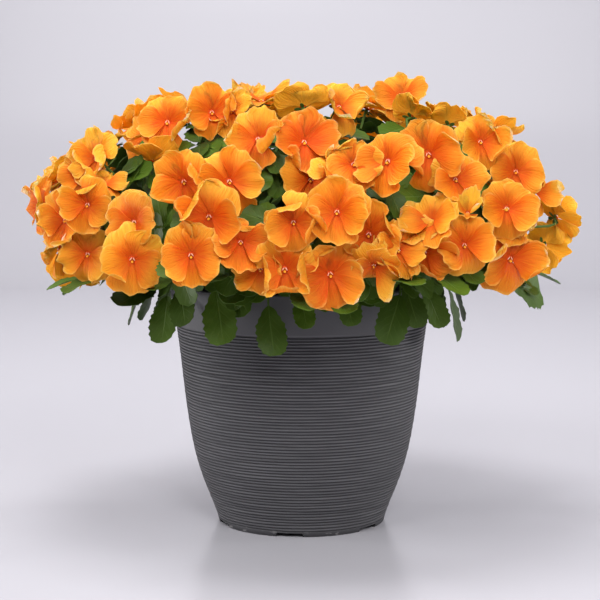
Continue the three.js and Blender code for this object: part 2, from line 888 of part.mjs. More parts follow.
// A closed tube through rings of points round a run of places, the first and the last ring capped.
function makeTube(places, radii, aside, sides, lastWay) {
  const points = [];
  places.forEach((place, i) => {
    const before = places[Math.max(0, i - 1)];
    const after = places[Math.min(places.length - 1, i + 1)];
    const along = i === places.length - 1 && lastWay ? lastWay : after.clone().sub(before).normalize();
    const first = aside.clone().addScaledVector(along, -aside.dot(along)).normalize();
    const second = new THREE.Vector3().crossVectors(along, first);
    for (let k = 0; k < sides; k++) {
      const turn = (2 * Math.PI * k) / sides;
      const out = first.clone().multiplyScalar(Math.cos(turn)).addScaledVector(second, Math.sin(turn));
      points.push(place.clone().addScaledVector(out, radii[i]));
    }
  });
  const ring = Array.from({ length: sides }, (_, k) => k);
  const cap = Array.from({ length: sides - 2 }, (_, k) => [0, k + 1, k + 2]);
  const faces = [...reversed(cap), ...shifted(cap, sides * (places.length - 1))];
  for (let i = 0; i < places.length - 1; i++) {
    faces.push(
      ...walls(
        ring.map((k) => k + i * sides),
        ring.map((k) => k + (i + 1) * sides),
      ),
    );
  }
  return solidOf(geometryOf(points, faces));
}

// Ways to stray from the straight line out of a core.
const BESIDE = [
  [0, 0, 0],
  [1, 0, 0],
  [-1, 0, 0],
  [0, 1, 0],
  [0, -1, 0],
  [0, 0, 1],
  [0, 0, -1],
];

function makeStem(s, spare = 0) {
  const last = s.places.length - 1;
  const radii = s.places.map((_, i) => stem.radius + ((stem.tipRadius - stem.radius) * i) / last + spare);
  return makeTube(s.places, radii, s.aside, 4);
}

function makeStalk({ root, neck, end, bloom: b }, spare = 0) {
  const aside = new THREE.Vector3().crossVectors(neck.clone().sub(root), b.face).normalize();
  const radii = [stalk.radius, stalk.radius, stalk.cup * b.size].map((r) => r + 2 * spare);
  return makeTube([root, neck, end], radii, aside, 3, b.face);
}

// One leaf as a thin closed blade: its rim toothed, folded along its midrib and drooping to its tip.
function makeLeaf(l, spare = 0) {
  const half = LEAF_SIDE.map(([x, w]) => new THREE.Vector2(x * l.length, w * l.halfWidth));
  const right = [new THREE.Vector2(0, 0), ...half.map((p) => new THREE.Vector2(p.x, -p.y))];
  const middle = new THREE.Vector2(leaf.middle * l.length, 0);
  const outline = [...right, new THREE.Vector2(l.length, 0), ...half.reverse(), middle];
  const points = [];
  for (const side of [-0.5, 0.5]) {
    outline.forEach((p) => {
      const share = p.x / l.length;
      const height = (leaf.fold * Math.abs(p.y)) / l.halfWidth - l.droop * share * share;
      const wide = p.clone().addScaledVector(p.clone().sub(middle).normalize(), EDGE_AIR * spare);
      points.push(
        l.root
          .clone()
          .addScaledVector(l.along, wide.x)
          .addScaledVector(l.across, wide.y)
          .addScaledVector(l.out, height + side * (leaf.thickness + 2 * spare)),
      );
    });
  }
  const n = outline.length;
  const loop = outline.slice(1).map((_, i) => i);
  const spokes = loop.slice(1, -1).map((i) => [n - 1, i, i + 1]);
  const fan = [...spokes, [n - 1, n - 2, 1], [n - 2, 0, 1]];
  const faces = [
    ...reversed(fan),
    ...shifted(fan, n),
    ...walls(
      loop,
      loop.map((i) => i + n),
    ),
  ];
  return solidOf(geometryOf(points, faces));
}

// A leaf's own axes and sizes, from its root, the way that it points, the side that it shows and its size.
function leafAt(root, way, shown, size, droop) {
  const along = way.clone().normalize();
  const out = shown.clone().addScaledVector(along, -shown.dot(along)).normalize();
  const across = new THREE.Vector3().crossVectors(out, along);
  return { root, along, out, across, length: leaf.length * size, halfWidth: leaf.halfWidth * size, droop };
}

// The ways that a leaf tries that stands out of a core: turned round the way out of it.
function coreLeaves(s) {
  const away = new THREE.Vector3(draw() - 0.5, draw() - 0.5, draw() - leaf.level).setLength(leaf.sunk);
  const root = away.clone().applyMatrix4(s.shape);
  const out = root.clone().sub(new THREE.Vector3().setFromMatrixPosition(s.shape)).normalize();
  const first = 2 * Math.PI * draw();
  const size = leaf.least + leaf.more * draw();
  const shown = crownNormal(root);
  const level = new THREE.Vector3(-out.y, out.x, 0).normalize();
  const rise = new THREE.Vector3().crossVectors(out, level);
  return Array.from({ length: leaf.tries }, (_, i) => {
    const turn = first + (2 * Math.PI * i) / leaf.tries;
    const way = level.clone().multiplyScalar(Math.cos(turn)).addScaledVector(rise, Math.sin(turn));
    way.addScaledVector(out, leaf.lift);
    return leafAt(root, way, shown.clone().addScaledVector(out, leaf.facing), size, leaf.droop);
  });
}

// Where the sight line through a place on the axis plane comes as close to the axis as reach, or else where
// it passes the crown.
function hung(across, up, reach) {
  const way = new THREE.Vector3(across, 0, up).sub(SIGHT);
  for (let t = SEARCH.from; t <= 1; t += SEARCH.step) {
    const spot = way.clone().multiplyScalar(t).add(SIGHT);
    if (Math.hypot(spot.x, spot.y) <= reach) return spot;
  }
  return sighted(across, up);
}

// The closest places in the cores and on the stalks that a leaf's own short stalk can start from.
function anchors(stems, place) {
  const all = stems.flatMap((s, index) => {
    const inCore = place.clone().applyMatrix4(s.inward).setLength(stalk.sunk).applyMatrix4(s.shape);
    const onStalks = s.stalks.flatMap((k) => skirt.starts.map((share) => k.root.clone().lerp(k.neck, share)));
    return [inCore, ...onStalks].map((from) => ({ index, from, far: from.distanceTo(place) }));
  });
  const apart = all.filter(({ far }) => far > skirt.least);
  return apart.sort((p, q) => p.far - q.far).slice(0, skirt.choices);
}

// A leaf at the end of a short stalk of its own, from each of the closest places and a few steps away.
function hangingLeaf(stems, blade) {
  const sight = blade.root.clone().sub(SIGHT).normalize();
  return skirt.steps.flatMap((step) => {
    const root = blade.root.clone().addScaledVector(sight, step);
    return anchors(stems, root).map(({ index, from }) => {
      const aside = new THREE.Vector3().crossVectors(root.clone().sub(from), blade.out).normalize();
      const tube = (r) => makeTube([from, root], [r, r], aside, 3);
      const petiole = tube(stalk.radius);
      const air = tube(stalk.radius + 2 * AIR);
      return { index, blade: { ...blade, root }, petiole, air };
    });
  });
}

function frontLeaf([fromAcross, fromUp, toAcross, toUp]) {
  const root = hung(fromAcross, fromUp, skirt.rootReach);
  const tip = hung(toAcross, toUp, skirt.tipReach);
  const way = tip.sub(root);
  const shown = root.clone().setZ(0).setLength(skirt.facing).add(FRONT_FACING);
  return leafAt(root, way, shown, way.length() / leaf.length, skirt.droop);
}

// A leaf that hangs over the rim at a turn round the pot.
function rimLeaf(turn) {
  const level = new THREE.Vector3(Math.cos(turn), Math.sin(turn), 0);
  const root = level.clone().multiplyScalar(skirt.rootReach + skirt.moreReach * draw());
  root.setZ(skirt.height + skirt.moreHeight * draw());
  const way = level.clone().multiplyScalar(skirt.leastLean + skirt.moreLean * draw()).setZ(-1);
  const size = skirt.leastSize + skirt.moreSize * draw();
  return leafAt(root, way, level.clone().setZ(skirt.facing), size, skirt.droop);
}

// The potting mix, a close fit in the pot, with a plain hole for each stem.
function makeMix(stems) {
  const [base, low, high, top] = potInside();
  const share = (mix.top - high[1]) / (top[1] - high[1]);
  const outline = [
    [0, base[1] + GAP],
    [base[0] - GAP, base[1] + GAP],
    [low[0] - GAP, low[1]],
    [high[0] - GAP, high[1]],
    [high[0] + (top[0] - high[0]) * share - GAP, mix.top],
    [0, mix.top + mix.crown],
  ].map(([r, z]) => new THREE.Vector2(r, z));
  const body = solidOf(new THREE.LatheGeometry(outline, pot.segments).rotateX(Math.PI / 2));
  const holes = stems.map((s) => {
    const hole = new THREE.CylinderGeometry(mix.bore, mix.bore, stem.depth * 4, 4).rotateX(Math.PI / 2);
    hole.rotateZ(s.turn);
    hole.translate(s.places[0].x, s.places[0].y, s.places[0].z - GAP + stem.depth * 2);
    return solidOf(hole);
  });
  return body.subtract(wasm.Manifold.union(holes));
}

// What already stands, with clear air round it, and the node that it belongs to.
const standing = [];

function addStanding(node, solid) {
  standing.push({ node, solid, box: solid.boundingBox() });
}

function crossed(body, node) {
  const box = body.boundingBox();
  return standing.filter(
    (other) =>
      other.node !== node &&
      [0, 1, 2].every((k) => other.box.min[k] <= box.max[k] && other.box.max[k] >= box.min[k]) &&
      body.intersect(other.solid).volume() > 1e-6,
  );
}

function cleared(body, node) {
  const cutters = crossed(body, node).map((other) => other.solid);
  return cutters.length ? largest(body.subtract(wasm.Manifold.union(cutters))) : body;
}

// A bloom joined to the ones before it in its group, nudged in or out and drawn closer until their petals
// hold each other, with as few crossing edges as can be had.
function seated(body, b, partner) {
  const from = b.place.clone();
  const closer = partner.place.clone().sub(from).normalize();
  const fits = [];
  for (const near of grouping.nearer) {
    for (const nudge of grouping.nudges) {
      b.place.copy(from).addScaledVector(b.slide, nudge).addScaledVector(closer, near);
      const joined = body.add(makeBloom(b));
      if (joined.decompose().length > 1) continue;
      fits.push({ joined, place: b.place.clone(), cost: joined.numTri() });
    }
  }
  if (!fits.length) return null;
  const best = fits.reduce((p, q) => (q.cost < p.cost ? q : p));
  b.place.copy(best.place);
  return best.joined;
}

function nodeName(stemName, index) {
  return `${stemName}_${String(index + 1).padStart(2, "0")}`;
}

const planter = new THREE.Group();
const potSolid = makePot();
planter.add(meshOf("planter_pot", potSolid, COLOURS.pot, 0.6));
addStanding("planter_pot", potSolid);

const blooms = otherBlooms(frontBlooms());
blooms.forEach(dressAxes);
const groups = groupUp(blooms);
drawTogether(blooms, groups);
settle(blooms, groups);

const loose = [];
const bloomBodies = groups.map((links) => {
  let body = makeBloom(blooms[links[0][0]]);
  for (const [i, k] of links) {
    if (i === k) continue;
    const joined = seated(body, blooms[k], blooms[i]);
    if (joined) body = joined;
    else loose.push(k);
  }
  return body;
});

const members = groups.map((links) => [...new Set(links.flat())].filter((i) => !loose.includes(i)));
for (const i of loose) {
  members.push([i]);
  bloomBodies.push(makeBloom(blooms[i]));
}
const stems = layStems();
stems.forEach((s) => {
  s.core = makeCore(s);
  s.body = makeStem(s).add(s.core);
});
layStalks(stems, blooms);
const mixSolid = makeMix(stems);
planter.add(meshOf("potting_mix", mixSolid, COLOURS.mix, 0.95));
addStanding("potting_mix", mixSolid);

const stemBodies = stems.map((s, n) => {
  const node = nodeName("leafy_stem", n);
  const body = cleared(s.body, node);
  addStanding(node, s.core);
  addStanding(node, makeStem(s, AIR));
  s.stalks.forEach((k) => addStanding(node, makeStalk(k, AIR)));
  return body;
});

members.forEach((group, g) => {
  const node = nodeName("bloom_group", g);
  const body = cleared(bloomBodies[g], node);
  group.forEach((i) => addStanding(node, makeBloom(blooms[i], AIR)));
  planter.add(meshOf(node, body, COLOURS.petal, 0.7));
});

// A leaf joined to its stem the simplest of several ways that are clear of all that stands.
function growLeaf(ways) {
  const fits = [];
  for (const { index, blade, petiole, air } of ways) {
    if (fits.length >= leaf.tries) break;
    const node = nodeName("leafy_stem", index);
    const solid = petiole ? makeLeaf(blade).add(petiole) : makeLeaf(blade);
    if (crossed(solid, node).length) continue;
    const joined = stemBodies[index].add(solid);
    if (joined.decompose().length > 1) continue;
    fits.push({ index, node, blade, air, joined, cost: joined.numTri() - stemBodies[index].numTri() });
  }
  if (!fits.length) return;
  const best = fits.reduce((p, q) => (q.cost < p.cost ? q : p));
  stemBodies[best.index] = best.joined;
  addStanding(best.node, makeLeaf(best.blade, AIR));
  if (best.air) addStanding(best.node, best.air);
}

FRONT_LEAVES.forEach((row) => growLeaf(hangingLeaf(stems, frontLeaf(row))));
for (let i = 0; i < skirt.count; i++) {
  const turn = radians(skirt.from + (skirt.sweep * (i + 0.5 * draw())) / skirt.count);
  growLeaf(hangingLeaf(stems, rimLeaf(turn)));
}
for (let round = 0; round < leaf.perStem; round++) {
  stems.forEach((s, index) => growLeaf(coreLeaves(s).map((blade) => ({ index, blade }))));
}
stems.forEach((s, n) => planter.add(meshOf(nodeName("leafy_stem", n), stemBodies[n], COLOURS.green, 0.6)));

// The origin goes under the middle of the whole planter, a few millimetres from the pot's own axis.
const middle = new THREE.Box3().setFromObject(planter, true).getCenter(new THREE.Vector3());
planter.position.set(-middle.x, -middle.y, 0);

export default planter;
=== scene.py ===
"""The looks of a potted pansy planter: ribbed pot, potting mix, leafy stems and orange blooms.

Lengths are metres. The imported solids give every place: each bloom's and each leaf's own place and turn is
found in the mesh of its node, and a finer piece of the same form takes the node's place.
"""

import json
import logging
import math
from collections import defaultdict
from collections.abc import Callable, Sequence
from dataclasses import dataclass, field
from enum import Enum

import bmesh
import bpy
import numpy as np
from mathutils import Matrix, Vector

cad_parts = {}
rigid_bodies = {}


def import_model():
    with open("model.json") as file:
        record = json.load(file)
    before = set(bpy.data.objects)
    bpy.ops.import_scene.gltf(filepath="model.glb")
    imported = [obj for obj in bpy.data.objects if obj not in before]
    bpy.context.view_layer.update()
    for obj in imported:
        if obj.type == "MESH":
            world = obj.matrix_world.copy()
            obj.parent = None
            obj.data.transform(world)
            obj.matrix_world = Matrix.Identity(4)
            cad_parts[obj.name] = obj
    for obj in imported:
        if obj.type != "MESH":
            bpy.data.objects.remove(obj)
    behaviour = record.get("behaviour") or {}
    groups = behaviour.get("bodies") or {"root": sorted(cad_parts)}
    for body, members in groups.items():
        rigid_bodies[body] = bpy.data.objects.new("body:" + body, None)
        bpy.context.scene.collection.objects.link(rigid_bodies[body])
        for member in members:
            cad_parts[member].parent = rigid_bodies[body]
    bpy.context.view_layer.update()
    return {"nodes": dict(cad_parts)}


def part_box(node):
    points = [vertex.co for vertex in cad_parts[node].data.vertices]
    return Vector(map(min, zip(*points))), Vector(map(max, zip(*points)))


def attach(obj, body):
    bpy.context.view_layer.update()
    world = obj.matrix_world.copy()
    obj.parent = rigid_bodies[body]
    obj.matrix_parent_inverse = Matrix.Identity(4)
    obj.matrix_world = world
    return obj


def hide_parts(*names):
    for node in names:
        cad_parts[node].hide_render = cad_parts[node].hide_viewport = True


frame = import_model()

MM = 0.001
TURN = 2 * math.pi
BODY = "root"
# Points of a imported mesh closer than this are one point.
WELD = 0.02 * MM
# The usual bloom, leaf and blade of the solids.
BLOOM_RADIUS = 30 * MM
LEAF_LENGTH = 58 * MM
LEAF_HALF_WIDTH = 16 * MM
BLADE_THICKNESS = 0.8 * MM
# Where a petal widens from its claw, in shares of the bloom's radius.
WAIST = 0.13
UPWARDS = np.array([0.0, 0.0, 1.0])
LEVEL = np.array([1.0, 1.0, 0.0])

log = logging.getLogger("planter")

Colour = tuple[float, float, float]
Triple = tuple[float, float, float]
Pair = tuple[float, float]
Piece = bpy.types.Object
Array = np.ndarray


def linear(colour: Colour) -> tuple[float, float, float, float]:
    """Turns a screen colour from 0 to 255 into the linear colour that a shader takes.

    Args:
        colour: Red, green and blue as seen on a screen.

    Returns:
        The linear colour with a full alpha.
    """
    shares = [c / 255 for c in colour]
    r, g, b = (s / 12.92 if s <= 0.04045 else ((s + 0.055) / 1.055) ** 2.4 for s in shares)
    return (r, g, b, 1.0)


def unit(way: Array) -> Array:
    """Returns a direction at length 1."""
    return way / max(float(np.linalg.norm(way)), 1e-12)


# Shader building


def arithmetic(operation: str, turned: bool = False) -> Callable[..., "Value"]:
    """Makes a method of Value out of a Math node's operation.

    Args:
        operation: The operation.
        turned: Whether the other number comes first.

    Returns:
        The method.
    """

    def act(self: "Value", *others: "Value | float") -> "Value":
        """Adds the node."""
        return self.math(operation, first=others[0]) if turned else self.math(operation, *others)

    return act


class Value:
    """A number that varies over a surface. Arithmetic on it adds Math nodes to its tree."""

    def __init__(self, tree: bpy.types.NodeTree, socket: bpy.types.NodeSocket) -> None:
        """Wraps an output socket of a node tree."""
        self.tree = tree
        self.socket = socket

    def math(
        self,
        operation: str,
        *others: "Value | float",
        first: "Value | float | None" = None,
    ) -> "Value":
        """Adds one Math node.

        Args:
            operation: The Math node's operation.
            others: What comes after this number in the node's inputs.
            first: What comes before it, where the order is turned round.

        Returns:
            The result as a new number.
        """
        node = self.tree.nodes.new("ShaderNodeMath")
        node.operation = operation
        parts = [self, *others] if first is None else [first, self]
        for slot, part in zip(node.inputs, parts):
            if isinstance(part, Value):
                self.tree.links.new(part.socket, slot)
            else:
                slot.default_value = part
        return Value(self.tree, node.outputs[0])

    __add__ = __radd__ = arithmetic("ADD")
    __sub__ = arithmetic("SUBTRACT")
    __rsub__ = arithmetic("SUBTRACT", turned=True)
    __mul__ = __rmul__ = arithmetic("MULTIPLY")
    __pow__ = arithmetic("POWER")
    __abs__ = arithmetic("ABSOLUTE")
    sine = arithmetic("SINE")
    most = arithmetic("MAXIMUM")
    least = arithmetic("MINIMUM")

    def held(self) -> "Value":
        """Keeps the number between 0 and 1."""
        return self.most(0.0).least(1.0)

    def rise(self, low: float, high: float) -> "Value":
        """Goes smoothly from 0 at low to 1 at high.

        Args:
            low: Where the result starts to leave 0.
            high: Where it reaches 1. It may lie under low.

        Returns:
            The share between 0 and 1.
        """
        node = self.tree.nodes.new("ShaderNodeMapRange")
        node.interpolation_type = "SMOOTHSTEP"
        turned = high < low
        node.inputs["From Min"].default_value = high if turned else low
        node.inputs["From Max"].default_value = low if turned else high
        self.tree.links.new(self.socket, node.inputs["Value"])
        share = Value(self.tree, node.outputs["Result"])
        return 1 - share if turned else share


Tint = bpy.types.NodeSocket | Colour


class Shader:
    """One material and the ways that its nodes are added."""

    def __init__(self, name: str, **sockets: float | Triple) -> None:
        """Makes a material with a Principled surface.

        Args:
            name: The material's name.
            sockets: Numbers for the surface's own sockets, with _ for each space.
        """
        self.material = bpy.data.materials.new(name)
        self.material.use_nodes = True
        self.tree = self.material.node_tree
        self.surface = next(n for n in self.tree.nodes if n.type == "BSDF_PRINCIPLED")
        for key, number in sockets.items():
            self.surface.inputs[key.replace("_", " ")].default_value = number

    def node(
        self,
        kind: str,
        settings: dict[str, object] | None = None,
        sockets: dict[str | int, object] | None = None,
    ) -> bpy.types.Node:
        """Adds any node.

        Args:
            kind: The node's type.
            settings: Its settings, set first.
            sockets: Numbers, colours or links of its inputs, by name or by place.

        Returns:
            The node.
        """
        node = self.tree.nodes.new(kind)
        for key, setting in (settings or {}).items():
            setattr(node, key, setting)
        for key, part in (sockets or {}).items():
            if isinstance(part, Value):
                self.tree.links.new(part.socket, node.inputs[key])
            elif isinstance(part, bpy.types.NodeSocket):
                self.tree.links.new(part, node.inputs[key])
            else:
                node.inputs[key].default_value = part
        return node

    def marks(self, name: str) -> tuple[Value, Value, Value]:
        """Reads the three numbers that a mesh keeps at each point under a name."""
        read = self.node("ShaderNodeAttribute", {"attribute_name": name})
        return self.apart(read.outputs["Vector"])

    def place(self) -> bpy.types.NodeSocket:
        """Returns the place of a point in the planter's own frame."""
        return self.node("ShaderNodeTexCoord").outputs["Object"]

    def apart(self, vector: bpy.types.NodeSocket) -> tuple[Value, Value, Value]:
        """Splits a vector into its three numbers."""
        node = self.node("ShaderNodeSeparateXYZ", {}, {0: vector})
        return tuple(Value(self.tree, node.outputs[i]) for i in range(3))

    def vector(self, x: Value | float, y: Value | float, z: Value | float) -> bpy.types.NodeSocket:
        """Joins three numbers into a vector."""
        return self.node("ShaderNodeCombineXYZ", {}, {0: x, 1: y, 2: z}).outputs[0]

    def noise(self, vector: bpy.types.NodeSocket, scale: float, detail: float = 2.0) -> Value:
        """Returns soft noise from 0 to 1 at a scale over a vector."""
        sockets = {"Vector": vector, "Scale": scale, "Detail": detail}
        return Value(self.tree, self.node("ShaderNodeTexNoise", {}, sockets).outputs["Fac"])

    def mix(self, share: Value | float, a: Tint, b: Tint) -> bpy.types.NodeSocket:
        """Blends two colours.

        Args:
            share: 0 for the first colour, 1 for the second.
            a: The first colour.
            b: The second colour.

        Returns:
            The blend.
        """
        tints = [t if isinstance(t, bpy.types.NodeSocket) else linear(t) for t in (a, b)]
        node = self.node("ShaderNodeMix", {"data_type": "RGBA"}, {0: share, 6: tints[0], 7: tints[1]})
        return node.outputs[2]

    def bump(self, height: Value, distance: float) -> None:
        """Raises the surface's shading by a height times a distance in metres."""
        sockets = {"Height": height, "Distance": distance, "Strength": 1.0}
        self.put("Normal", self.node("ShaderNodeBump", {}, sockets).outputs[0])

    def put(self, name: str, part: Value | bpy.types.NodeSocket) -> None:
        """Links something to one of the surface's sockets."""
        socket = part.socket if isinstance(part, Value) else part
        self.tree.links.new(socket, self.surface.inputs[name])


# Finishes


@dataclass(frozen=True)
class PetalFinish:
    """Thin velvety petals: orange that deepens to the throat, golden blooms with a painted highlight on the
    outer parts of the upper petals, a pale rim, and golden backs.
    """

    throat: Colour = (200, 66, 8)
    deep: Colour = (198, 66, 4)
    orange: Colour = (217, 107, 12)
    light: Colour = (230, 138, 34)
    # The gold is the golden blooms' own colour, and on the upper petals also a painted highlight.
    gold: Colour = (244, 180, 54)
    behind: Colour = (246, 160, 44)
    rim: Colour = (248, 190, 98)
    tuft: Colour = (250, 206, 176)
    eye: Colour = (112, 84, 16)

    def material(self) -> bpy.types.Material:
        """Builds the material. It reads the marks petal, bloom and part of a mesh.

        Returns:
            The material.
        """
        s = Shader(
            "petals",
            Specular_IOR_Level=0.12,
            Subsurface_Weight=0.6,
            Subsurface_Scale=2.5 * MM,
            Subsurface_Radius=(1.0, 0.8, 0.5),
        )
        across, out, back = s.marks("petal")
        gold, tone, upper = s.marks("bloom")
        tuft, eye, _ = s.marks("part")
        side = abs(across)
        streak = s.noise(s.vector(across * 7.0, out * 1.1, tone * 9.0), 1.6, 3.0)
        fan = s.noise(s.vector(across * 16.0, out * 1.6, tone * 7.0), 1.0, 2.0)
        mottle = s.noise(s.place(), 60.0, 3.0)
        body = s.mix(out.rise(0.2, 1.0) * 0.8 + (mottle - 0.5) * 0.5, self.orange, self.light)
        body = s.mix(((tone.rise(-1.0, 1.0) - 0.3) * 0.7).most(0.0), body, self.deep)
        reach = 0.28 + (streak - 0.5) * 0.9 + tone * 0.08
        glow = (1 - (out - reach).rise(-0.25, 0.35)) * 0.8
        body = s.mix(glow, body, self.deep)
        lines = ((fan - 0.48) * 4.0).held() * out.rise(1.0, 0.25) * 0.45
        body = s.mix(lines * (1 - upper * 0.6), body, self.deep)
        # Each bloom's own golden tone, and a painted highlight that lightens the outer parts of the upper
        # petals most.
        gold_and_highlight = gold * (0.35 + 0.65 * upper) * (0.3 + 0.7 * out.rise(0.1, 0.7))
        gold_and_highlight = gold_and_highlight + (mottle - 0.5) * 0.3 * upper
        gold_and_highlight = gold_and_highlight + upper * upper * out.rise(0.3, 0.95) * streak * 0.7
        body = s.mix(gold_and_highlight.held(), body, self.gold)
        body = s.mix(out.rise(0.14, 0.0) * 0.8, body, self.throat)
        edge = out.rise(0.88, 1.0).most(side.rise(0.88, 1.0) * out.rise(0.35, 0.7))
        body = s.mix(edge * (0.1 + 0.45 * streak), body, self.rim)
        body = s.mix(back * 0.9, body, self.behind)
        body = s.mix(tuft, body, self.tuft)
        body = s.mix(eye, body, self.eye)
        s.put("Base Color", body)
        s.put("Roughness", 0.5 + mottle * 0.2)
        s.bump(fan * out.rise(0.05, 0.5) + streak * 0.6 + mottle * 0.25, 1.4 * MM)
        return s.material


@dataclass(frozen=True)
class FoliageFinish:
    """Leaves with a midrib and side veins, paler below, and smooth lighter stalks."""

    deep: Colour = (44, 64, 12)
    green: Colour = (66, 92, 22)
    fresh: Colour = (94, 124, 32)
    below: Colour = (76, 100, 46)
    vein: Colour = (104, 130, 58)
    stalk: Colour = (84, 108, 46)

    def material(self) -> bpy.types.Material:
        """Builds the material. It reads the marks leaf and green of a mesh.

        Returns:
            The material.
        """
        s = Shader("foliage", Roughness=0.45, Specular_IOR_Level=0.22)
        across, along, back = s.marks("leaf")
        tone, stalk, young = s.marks("green")
        side = abs(across)
        mottle = s.noise(s.place(), 70.0, 3.0)
        body = s.mix((tone * 0.6 + mottle * 0.6).least(1.0), self.deep, self.green)
        body = s.mix(young * (0.5 + 0.5 * along), body, self.fresh)
        midrib = side.rise(0.08, 0.0) * along.rise(1.0, 0.7)
        slant = (along * 6.0 - side * 2.2 + mottle * 0.7 + tone * 0.9) * TURN
        fine = (slant.sine() * 0.5 + 0.5) ** 16.0 * side.rise(1.0, 0.4) * 0.3
        ribs = midrib.most(fine) * (1 - stalk)
        body = s.mix(ribs * 0.45, body, self.vein)
        body = s.mix(back * (1 - stalk) * 0.55, body, self.below)
        body = s.mix(stalk, body, self.stalk)
        s.put("Base Color", body)
        s.put("Roughness", 0.38 + mottle * 0.2 + stalk * 0.05)
        s.bump(ribs * -0.6 + mottle * 0.5, 0.6 * MM)
        return s.material


@dataclass(frozen=True)
class PotFinish:
    """Charcoal moulded plastic with a painted highlight on the rib crests, painted shade in the grooves and
    inside, and scuffs at the foot.
    """

    # Painted shade in the rib grooves.
    groove: Colour = (46, 45, 48)
    body: Colour = (66, 65, 68)
    band: Colour = (80, 79, 82)
    # Painted highlight on the rib crests.
    crest: Colour = (98, 97, 100)
    scuff: Colour = (168, 165, 164)
    # Painted shade inside the pot and under its floor.
    inside: Colour = (44, 42, 45)

    def material(self) -> bpy.types.Material:
        """Builds the material. It reads the mark relief of a mesh: crest, band and inside.

        Returns:
            The material.
        """
        s = Shader("pot_plastic", Roughness=0.6, Specular_IOR_Level=0.4)
        crest, band, inside = s.marks("relief")
        x, y, z = s.apart(s.place())
        streaks = s.noise(s.vector(x * 16.0, y * 16.0, z * 520.0), 1.0, 3.0)
        grain = s.noise(s.place(), 900.0, 2.0)
        broad = s.noise(s.vector(x * 5.0, y * 5.0, z * 60.0), 1.0, 2.0)
        # Painted shade: the grooves between the ribs go darker than the crests.
        body = s.mix(crest.rise(0.1, 0.7), self.groove, self.body)
        # Painted highlight: the rib crests go lighter, broken up by streaks.
        crest_highlight = crest.rise(0.6, 1.0) * (0.35 + 0.65 * streaks.rise(0.38, 0.64)) * (0.6 + 0.4 * broad)
        body = s.mix(crest_highlight, body, self.crest)
        body = s.mix(band, body, self.band)
        # Painted shade: the faces that are not on the outside, inside the pot and under its floor, go
        # darker than the same plastic outside.
        body = s.mix(inside, body, self.inside)
        speck = s.noise(s.vector(x * 120.0, y * 120.0, z * 260.0), 1.0, 2.0).rise(0.62, 0.7)
        low = z.rise(9 * MM, 2 * MM) * (1 - inside)
        body = s.mix(low * speck * 0.35, body, self.scuff)
        s.put("Base Color", body)
        s.put("Roughness", 0.52 + grain * 0.2)
        s.bump(grain * 0.4 + streaks * crest * 0.3, 0.25 * MM)
        return s.material


@dataclass(frozen=True)
class MixFinish:
    """Damp peaty potting mix with lighter fibres and white grains."""

    dark: Colour = (34, 25, 18)
    brown: Colour = (66, 48, 34)
    fibre: Colour = (110, 82, 54)
    grain: Colour = (206, 202, 194)

    def material(self) -> bpy.types.Material:
        """Builds the material. It reads the mark crumb of a mesh: tone, white and fibre.

        Returns:
            The material.
        """
        s = Shader("potting_mix", Roughness=0.9, Specular_IOR_Level=0.25)
        tone, white, fibre = s.marks("crumb")
        fine = s.noise(s.place(), 420.0, 4.0)
        broad = s.noise(s.place(), 60.0, 3.0)
        share = fine * 0.7 + broad * 0.5 + tone * 0.4 - 0.3
        body = s.mix(share.held(), self.dark, self.brown)
        body = s.mix(fibre * 0.8, body, self.fibre)
        body = s.mix(white, body, self.grain)
        s.put("Base Color", body)
        s.put("Roughness", 0.8 + fine * 0.18)
        s.bump(fine, 1.2 * MM)
        return s.material


@dataclass(frozen=True)
class FloorFinish:
    """A smooth pale lilac grey studio floor that takes a soft reflection."""

    colour: Colour = (186, 184, 190)

    def material(self) -> bpy.types.Material:
        """Builds the floor's material, a little uneven.

        Returns:
            The material.
        """
        s = Shader("studio_floor", Roughness=0.25, Specular_IOR_Level=0.35)
        cloud = s.noise(s.place(), 0.8, 1.0)
        s.put("Base Color", s.mix(cloud * 0.5, self.colour, tuple(c - 4 for c in self.colour)))
        return s.material


# Modelling helpers


def deselect() -> None:
    """Leaves nothing selected."""
    for o in bpy.context.selected_objects:
        o.select_set(False)
    bpy.context.view_layer.objects.active = None


def hold(piece: Piece) -> None:
    """Selects one object alone and makes it the active one."""
    deselect()
    piece.select_set(True)
    bpy.context.view_layer.objects.active = piece


def started(add: Callable[..., object], name: str, **settings: object) -> Piece:
    """Adds a primitive.

    Args:
        add: The operator that adds it.
        name: The new object's name.
        settings: The operator's settings.

    Returns:
        The primitive as the active object.
    """
    deselect()
    add(**settings)
    piece = bpy.context.active_object
    piece.name = name
    bpy.ops.object.transform_apply(location=True, rotation=True, scale=True)
    return piece


class Editing:
    """Edit mode on one object, as a with block, with ways to select by place."""

    def __init__(self, piece: Piece) -> None:
        """Takes the object to edit."""
        self.piece = piece

    def __enter__(self) -> "Editing":
        """Enters edit mode with nothing selected."""
        hold(self.piece)
        bpy.ops.object.mode_set(mode="EDIT")
        bpy.ops.mesh.select_mode(type="VERT")
        bpy.ops.mesh.select_all(action="DESELECT")
        return self

    def __exit__(self, *_: object) -> None:
        """Leaves edit mode."""
        bpy.ops.object.mode_set(mode="OBJECT")

    def points(self, test: Callable[[bmesh.types.BMVert], bool]) -> int:
        """Selects the points that pass a test, and nothing else.

        Args:
            test: Says whether a point is wanted.

        Returns:
            How many points are selected.
        """
        held = bmesh.from_edit_mesh(self.piece.data)
        for v in held.verts:
            v.select = bool(test(v))
        held.select_flush_mode()
        bmesh.update_edit_mesh(self.piece.data)
        return sum(v.select for v in held.verts)


